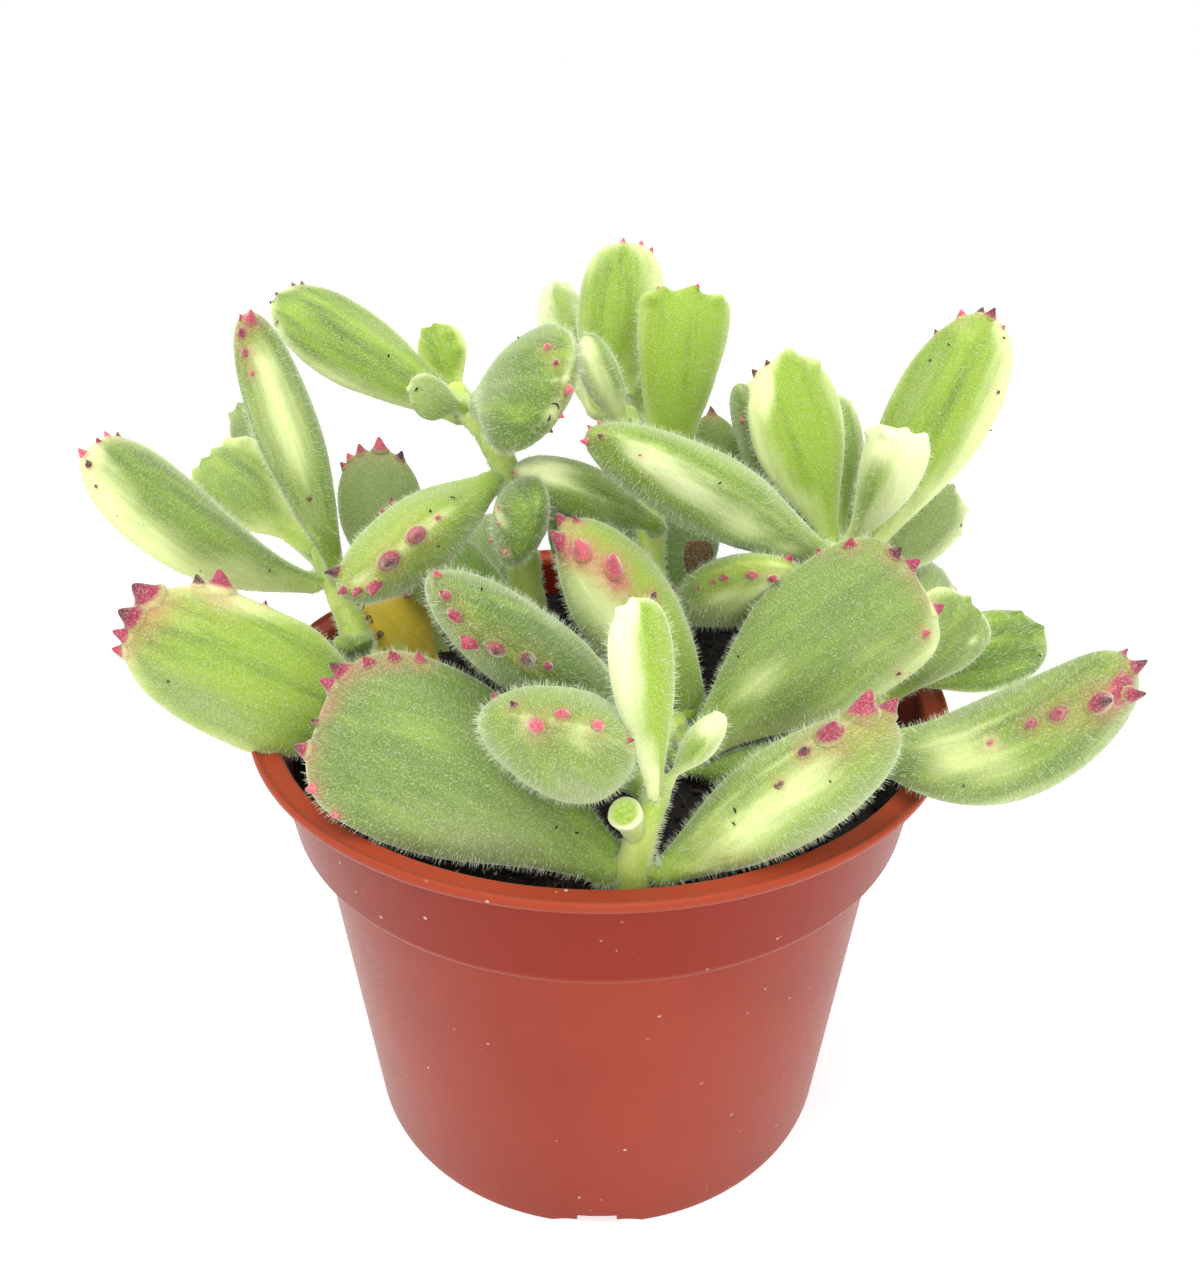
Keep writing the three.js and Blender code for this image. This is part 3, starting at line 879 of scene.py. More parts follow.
    def surface(self, q: Array, angle: Array) -> Array:
        """Points on its skin: an oval round the centre line, uneven, and swollen at each claw.

        Args:
            q: Places along it, as in frames.
            angle: Angles round it, 0 at one margin and pi at the other.

        Returns:
            The points, with the shape of q.
        """
        shape = q.shape
        points = self.plain(q.ravel(), angle.ravel())
        if self.teeth:
            skin = points.copy()
            for tooth, centre, way, size in zip(self.teeth, *self.roots()):
                lift, spread = (0.50, 0.40) if tooth.claw is LEAF else (0.13, 0.85)
                reach = spread * size + 0.15
                near = np.exp(-np.sum((skin - centre) ** 2, 1) / reach**2)
                points = points + way * (near * lift * size)[:, None]
        return points.reshape(*shape, 3)

    def colouring(self, points: Array, q: Array, angle: Array) -> dict[str, Array]:
        """The values that its finish reads, for points on its skin.

        Pale margins are as wide as the coat says, by the straight distance from the margin, and
        wax and wane along it. Dabs add to a mark by a bell curve of the distance.

        Args:
            points: The points.
            q: Their places along it.
            angle: Their angles round it.

        Returns:
            Values for each point, by name.
        """
        coat, count = self.coat, len(points)
        _, along, _, _, half_width, half_thick = self.frames(q)
        cosine, sine = np.cos(angle), np.sin(angle)
        inward = np.hypot(half_width * (1 - np.abs(cosine)), half_thick * sine)
        flat = np.stack([cosine * half_width, q * self.length, sine * half_thick], -1)
        side = smooth_step(-0.15, 0.15, cosine)
        band = coat.left * (1 - side) + coat.right * side
        track = np.stack([q * self.length / 13.0, np.sign(cosine)], -1)
        band = band * (1 + 0.35 * coat.rag * waves(track, self.seed + 3, 0.5, 3))
        low = smooth_step(0.25, -0.2, q)
        drift = np.random.default_rng(self.seed).uniform(-40, 40, 3)
        marks = {
            "pale": np.maximum(0.5 * smooth_step(0, 1, band) + (band - inward) / (2 * coat.soft)
                               - 0.3 * low, -0.15),
            "yellow": coat.yellow + 0.3 * smooth_step(0.4, 0.0, q),
            "shade": coat.shade - 0.25 * smooth_step(0.3, -0.2, q),
            "bloom": coat.bloom * (1 - 0.7 * smooth_step(0.3, 0.0, q)),
            "streak": np.full(count, coat.streak),
            "rag": coat.rag * np.clip(1.6 / coat.soft, 0, 1) * np.ones(count),
            "blush": np.zeros(count),
            "scar": np.zeros(count),
            "claw": np.zeros(count),
            "ripe": np.zeros(count),
        }
        if self.teeth:
            for tooth, centre, _, size in zip(self.teeth, *self.roots()):
                if tooth.claw is not LEAF:
                    reach = 0.95 * size + 0.25
                    near = np.exp(-np.sum((points - centre) ** 2, 1) / reach**2)
                    marks["blush"] = np.maximum(marks["blush"], near * coat.blush)
        for dab in self.dabs:
            at, turn = np.array([dab.s]), np.radians([dab.angle])
            offset = points - self.plain(at, turn)[0]
            forward = self.normals(at, turn)[1][0]
            ahead = offset @ forward
            aside = np.linalg.norm(offset - ahead[:, None] * forward, axis=1)
            marks[dab.mark] = marks[dab.mark] + dab.amount * np.exp(
                -(ahead / dab.along) ** 2 - (aside / dab.across) ** 2)
        marks["lay"] = flat + drift
        return marks

    def blade(self) -> Shell:
        """Its neck and blade in one closed skin.

        Returns:
            The skin, with its marks.
        """
        neck = np.linspace(-1, 0, 7)[:-1]
        rise = self.wide * np.linspace(0, 1, int(10 + self.length * 0.6), endpoint=False)
        end = self.wide + (1 - self.wide) * np.sin(np.pi / 2 * np.linspace(0, 1, 27)[:-1])
        stops = np.concatenate([neck, rise, end])
        turn = -2 * np.pi * np.arange(BLADE_SIDES) / BLADE_SIDES
        q, angle = np.meshgrid(stops, turn, indexing="ij")
        rings = self.surface(q, angle)
        ends = self.surface(np.array([-1.0, 1.0]), np.zeros(2))
        centre = rings[0].mean(0)
        points, quads, tris = wrapped(rings, centre, ends[1])
        places = np.concatenate([q.ravel(), [-1.0, 1.0]])
        angles = np.concatenate([angle.ravel(), [0.0, 0.0]])
        return Shell(points, quads, tris, self.colouring(points, places, angles))

    def claws(self) -> list[Shell]:
        """Its claws: low cones with a flared foot, hooked towards its tip.

        Returns:
            A cone for each claw but the leaf-coloured ones.
        """
        stops = np.array([-0.6, -0.3, 0.0, 0.15, 0.32, 0.5, 0.68, 0.84, 0.94])
        rng = np.random.default_rng(self.seed + 11)
        turn = -2 * np.pi * np.arange(CLAW_SIDES) / CLAW_SIDES
        share = np.clip(stops, 0, 1)
        girth = (1 - share) ** 0.62 * (1 + 0.35 * np.exp(-5 * share))
        centre, out, size = self.roots()
        q = np.array([min(tooth.s, 0.995) for tooth in self.teeth])
        angle = np.radians([tooth.angle for tooth in self.teeth])
        centre = self.surface(q, angle)
        _, along, through, across, _, _ = self.frames(q)
        thin = unit(through - out * np.sum(through * out, 1, keepdims=True) + 0.001 * across)
        broad = np.cross(out, thin)
        shells = []
        for i, tooth in enumerate(self.teeth):
            if tooth.claw is LEAF:
                continue
            tall = tooth.size * CLAW_HEIGHT * rng.uniform(0.9, 1.12)
            ahead = unit(along[i] - out[i] * float(along[i] @ out[i])) * tall * self.hook
            axis = centre[i] + out[i] * tall * stops[:, None] + ahead * share[:, None] ** 1.5
            ring = (broad[i] * np.cos(turn)[:, None] + thin[i] * CLAW_FLATNESS * np.sin(turn)[:, None])
            rings = axis[:, None] + ring[None] * (girth * 0.5 * tooth.size)[:, None, None]
            tip = centre[i] + out[i] * tall + ahead
            points, quads, tris = wrapped(rings, axis[0], tip)
            count = len(points)
            marks = self.colouring(points, np.full(count, q[i]), np.full(count, angle[i]))
            rise = np.concatenate([np.repeat(share, CLAW_SIDES), [0.0, 1.0]])
            marks["claw"] = rise
            marks["ripe"] = np.full(count, tooth.claw.value + rng.uniform(-0.12, 0.2))
            marks["lay"] = points + 3.7
            shells.append(Shell(points, quads, tris, marks))
        return shells

    def hairs(self, dense: float) -> Shell:
        """Its hairs: slim three-sided spikes that stand out of its skin and lean to its tip.

        Args:
            dense: How many there are to a square millimetre.

        Returns:
            The hairs.
        """
        rng = np.random.default_rng(self.seed + 23)
        area = 2.4 * self.length * (self.width + self.thick) / 2
        count = int(area * dense)
        q = rng.uniform(-0.9, 0.995, count)
        angle = rng.uniform(0, 2 * np.pi, count)
        _, _, _, _, half_width, half_thick = self.frames(q)
        speed = np.hypot(half_width * np.sin(angle), half_thick * np.cos(angle))
        share = speed / speed.max() + 0.35 * np.cos(angle) ** 6
        keep = rng.uniform(0, 1.1, count) < share * np.where(q < 0, 0.35, 1.0)
        q, angle = q[keep], angle[keep]
        out, forward = self.normals(q, angle)
        return Hair().shell(self.surface(q, angle), out, forward, rng)

    def litter(self) -> Shell:
        """The peat on it: bent threads that lie on the skin, tapered at both ends.

        Returns:
            The threads.
        """
        rng = np.random.default_rng(self.seed + 41)
        t = np.linspace(0, 1, 7)
        q = np.array([speck.s for speck in self.specks])
        angle = np.radians([speck.angle for speck in self.specks])
        reach = np.array([speck.length for speck in self.specks])[:, None, None]
        out, forward = self.normals(q, angle)
        aside = np.cross(out, forward)
        heading = rng.uniform(0, 2 * np.pi, (len(q), 1)) + rng.normal(0, 1.4, (len(q), 1)) * t
        step = (forward[:, None] * np.cos(heading)[..., None]
                + aside[:, None] * np.sin(heading)[..., None]) * reach / len(t)
        run = np.cumsum(step, 1)
        lift = 0.04 + 0.14 * np.sin(np.pi * t)
        line = (self.surface(q, angle)[:, None] + run - run.mean(1, keepdims=True)
                + out[:, None] * lift[:, None])
        thick = rng.uniform(0.07, 0.11, (len(q), 1)) * (0.45 + 0.55 * np.sin(np.pi * t))
        points, quads, tris = threads(line, np.repeat(out[:, None], len(t), 1), thick, 6)
        return Shell(points, quads, tris)

    def shells(self) -> list[Shell]:
        """Its blade and its claws."""
        return [self.blade()] + (self.claws() if self.teeth else [])


@dataclass(frozen=True)
class Hair:
    """How the hairs grow: their sizes, and how far they lean as shares of their length."""

    length: float = 0.70
    shortest: float = 0.55
    longest: float = 1.25
    thick: float = 0.023
    sunk: float = 0.12
    lean: float = 0.34
    tousle: float = 0.17

    def shell(self, root: Array, out: Array, forward: Array, rng: np.random.Generator) -> Shell:
        """Hairs as slim closed spikes: a three-sided foot under the skin and one point.

        Args:
            root: Where each stands.
            out: The way out of the skin there.
            forward: The way that they lean.
            rng: The random draw.

        Returns:
            The hairs, with how far along the hair each point is.
        """
        count = len(root)
        lean = (forward * rng.uniform(0.0, self.lean, (count, 1))
                + rng.normal(0, self.tousle, (count, 3)))
        way = unit(out + lean)
        reach = self.length * rng.uniform(self.shortest, self.longest, count)
        side = unit(np.cross(way, rng.normal(size=(count, 3))))
        other = np.cross(way, side)
        turn = 2 * np.pi * np.arange(3) / 3
        foot = (root - way * self.sunk)[:, None] + self.thick * (
            side[:, None] * np.cos(turn)[None, :, None]
            + other[:, None] * np.sin(turn)[None, :, None])
        tip = root + way * reach[:, None]
        points = np.concatenate([foot, tip[:, None]], 1)
        faces = np.array([[0, 1, 3], [1, 2, 3], [2, 0, 3], [0, 2, 1]])
        points, quads, tris = many(points, np.zeros((0, 4), int), faces)
        rise = np.tile([0.0, 0.0, 0.0, 1.0], count)
        spread = np.repeat(rng.uniform(0, 1, count), 4)
        return Shell(points, quads, tris, {"rise": rise, "bake": np.stack([spread, rise], -1)})


@dataclass(frozen=True)
class PlantFinishes:
    """The plant's materials and the peat's."""

    stem: bpy.types.Material
    leaf: bpy.types.Material
    hair: bpy.types.Material
    peat: bpy.types.Material


@dataclass(frozen=True)
class Stub:
    """The stub of a cut branch: from the stem to its cut face."""

    start: Point
    end: Point
    radius: float


@dataclass(frozen=True)
class Stem:
    """A fleshy stem along a route of x, y, z and radius, with its leaves."""

    name: str
    route: tuple[tuple[float, float, float, float], ...]
    leaves: tuple[Leaf, ...]
    stub: Stub | None = None

    def foot_of(self, leaf: Leaf) -> Array:
        """Where a leaf's neck enters the stem: on its nearest stretch, just under the skin.

        Args:
            leaf: The leaf.

        Returns:
            The point.
        """
        base = np.array(leaf.start)
        knots = np.array(self.route)
        start, end = knots[:-1, :3], knots[1:, :3]
        run = end - start
        share = np.clip(np.sum((base - start) * run, 1) / np.sum(run * run, 1), 0, 1)
        near = start + run * share[:, None]
        distance = np.linalg.norm(near - base, axis=1)
        best = int(np.argmin(distance))
        radius = knots[best, 3] + (knots[best + 1, 3] - knots[best, 3]) * share[best]
        return near[best] + (base - near[best]) * min(1.0, 0.6 * radius / distance[best])

    def curve(self, count: int) -> tuple[Array, Array]:
        """A smooth line through the route's knots: a cubic over each four of them in turn.

        Args:
            count: How many points a stretch gets.

        Returns:
            The points and the radii.
        """
        knots = np.array(self.route)
        padded = np.concatenate([[2 * knots[0] - knots[1]], knots, [2 * knots[-1] - knots[-2]]])
        t = np.linspace(0, 1, count, endpoint=False)[:, None]
        parts = []
        for a, b, c, d in zip(padded[:-3], padded[1:-2], padded[2:-1], padded[3:]):
            parts.append(0.5 * (2 * b + (c - a) * t + (2 * a - 5 * b + 4 * c - d) * t**2
                                + (3 * b - a - 3 * c + d) * t**3))
        line = np.concatenate([*parts, knots[-1:]])
        return line[:, :3], line[:, 3]

    def tube(self, line: Array, radius: Array, sides: int, flat_end: bool, seed: int) -> Shell:
        """An uneven round skin along a line, domed or cut flat at its end.

        Args:
            line: The centres.
            radius: The radii.
            sides: How many points go round.
            flat_end: Whether the end is cut flat.
            seed: Which noise makes it uneven.

        Returns:
            The skin, with where its cut face and rim are.
        """
        along = unit(np.gradient(line, axis=0))
        if flat_end:
            inner = np.array([0.95, 0.66, 0.35])
            line = np.concatenate([line, np.repeat(line[-1:], 3, 0)])
            radius = np.concatenate([radius, radius[-1] * inner])
            lift = np.array([0.12, 0.05, 0.0]) * radius[0]
        else:
            bend = np.radians([25, 50, 72])
            line = np.concatenate([line, np.repeat(line[-1:], 3, 0)])
            lift = radius[-1] * np.sin(bend)
            radius = np.concatenate([radius, radius[-1] * np.cos(bend)])
        along = np.concatenate([along, np.repeat(along[-1:], 3, 0)])
        line[-3:] += along[-3:] * lift[:, None]
        level = np.where(np.abs(along[:, 1:2]) < 0.9, np.array([[0.0, 1.0, 0.0]]), UP[None])
        side = unit(np.cross(level, along))
        over = np.cross(along, side)
        turn = 2 * np.pi * np.arange(sides) / sides
        ring = side[:, None] * np.cos(turn)[None, :, None] + over[:, None] * np.sin(turn)[None, :, None]
        centre = line[:, None] + ring * radius[:, None, None]
        uneven = 1 + 0.09 * waves(centre * 0.22, seed, 0.5, 3)[..., None]
        rings = line[:, None] + ring * radius[:, None, None] * uneven
        crown = 0.0 if flat_end else 0.02
        points, quads, tris = wrapped(rings, line[0], line[-1] + along[-1] * radius[0] * crown)
        cut = np.zeros(len(points))
        rim = np.zeros(len(points))
        if flat_end:
            cut[-2 - 2 * sides:-2] = 1.0
            cut[-1] = 1.0
            rim[-2 - 4 * sides:-2 - 2 * sides] = 1.0
        return Shell(points, quads, tris, {"cut": cut, "rim": rim})

    def shells(self) -> list[Shell]:
        """The stem and its stub.

        Returns:
            Their skins.
        """
        line, radius = self.curve(STEM_STEPS)
        seed = len(self.name) * 31
        parts = [self.tube(line, radius, STEM_SIDES, False, seed)]
        if self.stub:
            share = np.linspace(0, 1, 9)[:, None]
            line = np.array(self.stub.start) * (1 - share) + np.array(self.stub.end) * share
            swollen = self.stub.radius * (1 + 0.12 * share[:, 0] ** 3)
            parts.append(self.tube(line, swollen, STEM_SIDES, True, seed + 1))
        return parts

    def hairs(self, dense: float) -> Shell:
        """Hairs over the stem.

        Args:
            dense: How many there are to a square millimetre.

        Returns:
            The hairs.
        """
        rng = np.random.default_rng(len(self.name) * 17)
        line, radius = self.curve(STEM_STEPS)
        along = unit(np.gradient(line, axis=0))
        reach = float(np.sum(np.linalg.norm(np.diff(line, axis=0), axis=1)))
        count = int(reach * 2 * np.pi * radius.mean() * dense)
        at = rng.uniform(0.12 * len(line), len(line) - 1.01, count).astype(int)
        ways = unit(np.cross(along[at], rng.normal(size=(count, 3))))
        root = line[at] + (along[at] * rng.uniform(-0.4, 0.4, (count, 1)))
        return Hair(length=0.55).shell(root + ways * radius[at, None], ways, along[at], rng)

    def build(self, finishes: PlantFinishes, dense: float) -> None:
        """Makes the stem, its leaves, their hairs and the peat on them.

        Args:
            finishes: The plant's finishes.
            dense: Hairs to a square millimetre.
        """
        node = f"stem_{self.name}"
        make_piece(f"{node}_flesh", self.shells(), [finishes.stem], (node,))
        fuzz = [self.hairs(dense * 0.8)]
        litter = []
        for leaf in self.leaves:
            leaf = replace(leaf, foot=tuple(self.foot_of(leaf)))
            make_piece(f"{leaf.name}_blade", leaf.shells(), [finishes.leaf],
                       (leaf.name,) if leaf.modelled else ())
            fuzz.append(leaf.hairs(dense))
            if leaf.specks:
                litter.append(leaf.litter())
        make_piece(f"hairs_{self.name}", fuzz, [finishes.hair], smooth=False)
        if litter:
            make_piece(f"specks_{self.name}", litter, [finishes.peat])


def left_stem() -> Stem:
    """The stem that leans out to the left, with its pale-edged leaves and its buds."""
    return Stem("left", ((-25, -1, 51.5, 2.2), (-30, 4, 61, 2), (-35.3, 9.3, 73.3, 1.3)), (
        Leaf("left_leaf_low", (-36.7, 6.8, 70.1), (-56.0, -3.1, 91.3), 11.5, 6, -45,
            Coat(left=2.6, right=0.9, soft=2.2, yellow=0.6, shade=0.1, bloom=0.3, streak=0.9, blush=0.3),
            several(Tooth, (0.99, 18, 0.8, PINK), (0.97, 18, 0.6, BROWN),
                (1, 74, 0.7, MAROON), (0.99, 162, 1.1, PINK), (0.96, 142, 0.9, BROWN),
                (0.9, 150, 0.4, BROWN)),
            several(Dab, ("scar", 0.8, 154, 0.3, 0.4, 1), ("scar", 0.73, 136, 0.4, 0.6, 0.8),
                ("scar", 0.48, 154, 0.3, 0.5, 0.6), ("pale", 0.63, 190, 1.8, 6.7, 0.5),
                ("pale", 0.99, 130, 1.8, 1.8, 0.5), ("pale", 0.31, 188, 1.7, 4.8, 0.4)),
            specks=several(Speck, (0.23, 110, 0.4)), sweep=-0.1, wide=0.7, blunt=2.5),
        Leaf("left_leaf_crenate", (-39.4, 11.2, 75.2), (-50.1, 15.7, 83.1), 12, 5, -45,
            Coat(left=1.6, right=1.6, soft=2.0, yellow=0.6, shade=-0.06, bloom=0.4, streak=1.1),
            several(Tooth, (0.99, 140, 1.3, LEAF), (0.99, 100, 1.4, LEAF),
                (0.99, 60, 1.4, LEAF), (0.97, 32, 1.5, LEAF), (0.85, 32, 1.4, LEAF),
                (0.71, 18, 1.3, LEAF)), several(Dab, ("shade", 0.62, 68, 0.8, 2.5, 0.12)),
            specks=several(Speck, (0.44, 46, 0.4)), wide=0.72, blunt=3.0),
        Leaf("left_leaf_upright", (-32.7, 5.1, 73.2), (-39.3, 3.8, 104.2), 8.6, 6.5, -40,
            Coat(yellow=0.6, shade=0.05, bloom=0.15, streak=0.6),
            several(Tooth, (0.99, 158, 0.6, PINK), (0.98, 110, 1.5, PINK), (0.95, 152, 1.1),
                (0.89, 152, 0.9), (0.82, 148, 0.6, PINK)),
            several(Dab, ("scar", 0.32, 134, 0.5, 0.5, 1), ("pale", 0.84, 118, 2, 3.1, 0.7),
                ("pale", 0.69, 120, 2.9, 4.5, 0.75), ("pale", 0.5, 122, 2.9, 4.8, 0.7),
                ("pale", 0.23, 134, 2.1, 4, 0.5), ("blush", 0.97, 116, 0.9, 0.9, 0.4))),
        Leaf("left_leaf_small", (-37.3, 12.6, 74.8), (-48.4, 27.9, 86.8), 8, 4, -20,
            Coat(left=0.5, right=0.5, yellow=0.4, shade=0.15, bloom=0.5),
            several(Tooth, (0.95, 160, 1.1, LEAF), (0.98, 110, 1.1, LEAF),
                (0.88, 86, 0.9, LEAF))),
        Leaf("left_leaf_back", (-36, 12, 70), (-46, 33, 77), 9, 5, -15,
            Coat(left=1.2, right=1.6, bloom=0.25), row_of_teeth(5, 0.9, 1.5)),
        Leaf("left_leaf_bud", (-30.5, 3.2, 62.8), (-31.8, -0.9, 65.3), 3.4, 2.8, -20,
            Coat(yellow=0.4, bloom=0.3), modelled=False),
        Leaf("left_leaf_bud_inner", (-30.2, 3.0, 62.6), (-29.2, -0.2, 65.4), 3.0, 2.4, 20,
            Coat(yellow=0.4, shade=0.1, bloom=0.2), modelled=False),
    ))


def tall_left_stem() -> Stem:
    """The tall stem on the left, forked at its top."""
    return Stem("tall_left", ((-8, 4, 51.5, 2.4), (-9, 4, 70, 2.1),
                              (-11.5, 5.5, 86, 1.7), (-17.5, 12, 93, 1.4)), (
        Leaf("tall_left_leaf_top", (-17.3, 11.7, 90.4), (-40.2, 20.5, 102.6), 10.2, 6, -45,
            Coat(left=1.2, right=0.8, soft=1.3, yellow=0.55, shade=-0.02, bloom=0.15, streak=1.0,
                blush=0.2),
            several(Tooth, (0.93, 22, 0.5, BROWN), (0.96, 28, 0.5, BROWN),
                (0.99, 84, 0.5, BROWN), (0.99, 140, 0.5, BROWN)),
            several(Dab, ("scar", 0.93, 22, 0.4, 0.4, 1), ("scar", 0.96, 28, 0.4, 0.4, 1),
                ("scar", 0.99, 116, 0.4, 0.6, 1), ("scar", 0.91, 148, 0.5, 0.6, 1),
                ("scar", 0.6, 98, 0.4, 0.4, 0.7), ("scar", 0.38, 84, 0.6, 0.7, 0.45),
                ("pale", 0.98, 34, 1.5, 1.1, 0.6), ("shade", 0.61, 86, 0.6, 7.2, 0.08),
                ("bloom", 0.49, 52, 1.2, 4.9, 0.4)), specks=several(Speck, (0.38, 82, 0.4))),
        Leaf("tall_left_leaf_young", (-17.5, 13.2, 93.5), (-20.5, 16.5, 100.0), 6, 3, -45,
            Coat(left=0.9, right=0.9, soft=0.8, yellow=0.95, shade=-0.08),
            several(Tooth, (0.97, 150, 1.1, LEAF), (0.95, 76, 1.1, LEAF),
                (0.75, 54, 1.1, LEAF), (0.48, 46, 1, LEAF))),
        Leaf("tall_left_leaf_bud", (-16.8, 8.3, 92.6), (-22.0, 5.0, 95.2), 5.6, 3, -55,
            Coat(left=0.3, right=0.6, yellow=0.4, bloom=0.7),
            several(Tooth, (0.99, 298, 0.7, LEAF), (0.96, 36, 0.7, LEAF)),
            specks=several(Speck, (0.93, 90, 0.6))),
        Leaf("tall_left_leaf_round", (-13.7, 7.1, 93.7), (-3.7, -5.0, 99.4), 15.4, 8, 50,
            Coat(left=0.5, right=0.3, shade=0.1, bloom=0.12, streak=0.9, blush=0.3),
            several(Tooth, (0.87, 120, 0.9, PINK), (0.96, 110, 0.7), (0.99, 300, 1.1, PINK),
                (0.9, 308, 0.6, PINK), (0.82, 316, 0.5, BROWN)),
            several(Dab, ("pale", 0.99, 74, 0.5, 2.3, 0.5), ("pale", 0.94, 330, 1, 1.3, 0.9),
                ("bloom", 0.59, 76, 1.7, 4.3, 0.5), ("shade", 0.88, 64, 1.3, 4.2, 0.1),
                ("blush", 0.96, 342, 0.8, 1.3, 0.1), ("scar", 0.81, 318, 0.4, 0.4, 0.8)),
            specks=several(Speck, (0.97, 350, 1.6), (0.93, 348, 0.8), (0.52, 128, 0.4)),
            wide=0.56, blunt=2.1),
        Leaf("tall_left_leaf_side", (-13.3, 2.8, 84.6), (-28.8, -9.9, 76.3), 12, 9, 35,
            # Painted light: the low shade and the broad faint pale dab at 0.57 lighten this leaf, which
            # faces into shade.
            Coat(shade=-0.12, bloom=0.15, streak=0.6, blush=0.3),
            several(Tooth, (0.42, 176, 0.7, PINK), (0.57, 178, 2.2), (0.75, 184, 2.4, MAROON),
                (0.87, 208, 1.9), (0.94, 200, 1.2), (0.98, 172, 1.2), (0.94, 112, 1.8, BROWN)),
            several(Dab, ("pale", 0.64, 180, 0.5, 3.3, 0.3), ("pale", 0.4, 174, 0.6, 2.2, 0.3),
                ("pale", 0.57, 166, 3.3, 9.8, 0.25), ("bloom", 0.23, 142, 1.4, 4.5, 0.5),
                ("pale", 0.91, 184, 1.1, 1.1, 0.5)),
            specks=several(Speck, (0.27, 162, 0.7), (0.43, 162, 0.3), (0.5, 212, 0.3)), wide=0.5),
        Leaf("tall_left_leaf_front", (-10.4, 3.1, 83.8), (-8.0, -7.9, 82.1), 11, 6, 70,
            Coat(yellow=0.6, shade=0.1, bloom=0.1),
            several(Tooth, (0.6, 54, 0.7, PINK), (0.58, 98, 0.4, PINK),
                (0.71, 86, 0.4, PINK), (0.88, 50, 0.6, PINK)),
            several(Dab, ("pale", 0.64, 92, 0.7, 3.4, 1.1), ("pale", 0.9, 46, 0.9, 0.9, 0.7))),
        Leaf("tall_left_leaf_low", (-11.0, 6.3, 68.1), (-26.0, 14.0, 71.0), 10, 6, -45,
            Coat(left=0.4, right=0.4, yellow=0.9, shade=0.12), row_of_teeth(5, 0.9, 1.2)),
        Leaf("tall_left_leaf_back", (-10.7, 8.0, 62.0), (-17.9, 39.0, 66.0), 12, 7, -15,
            Coat(left=0.6, right=0.6, shade=0.15, bloom=0.25), row_of_teeth(5, 0.9, 1.6)),
    ))


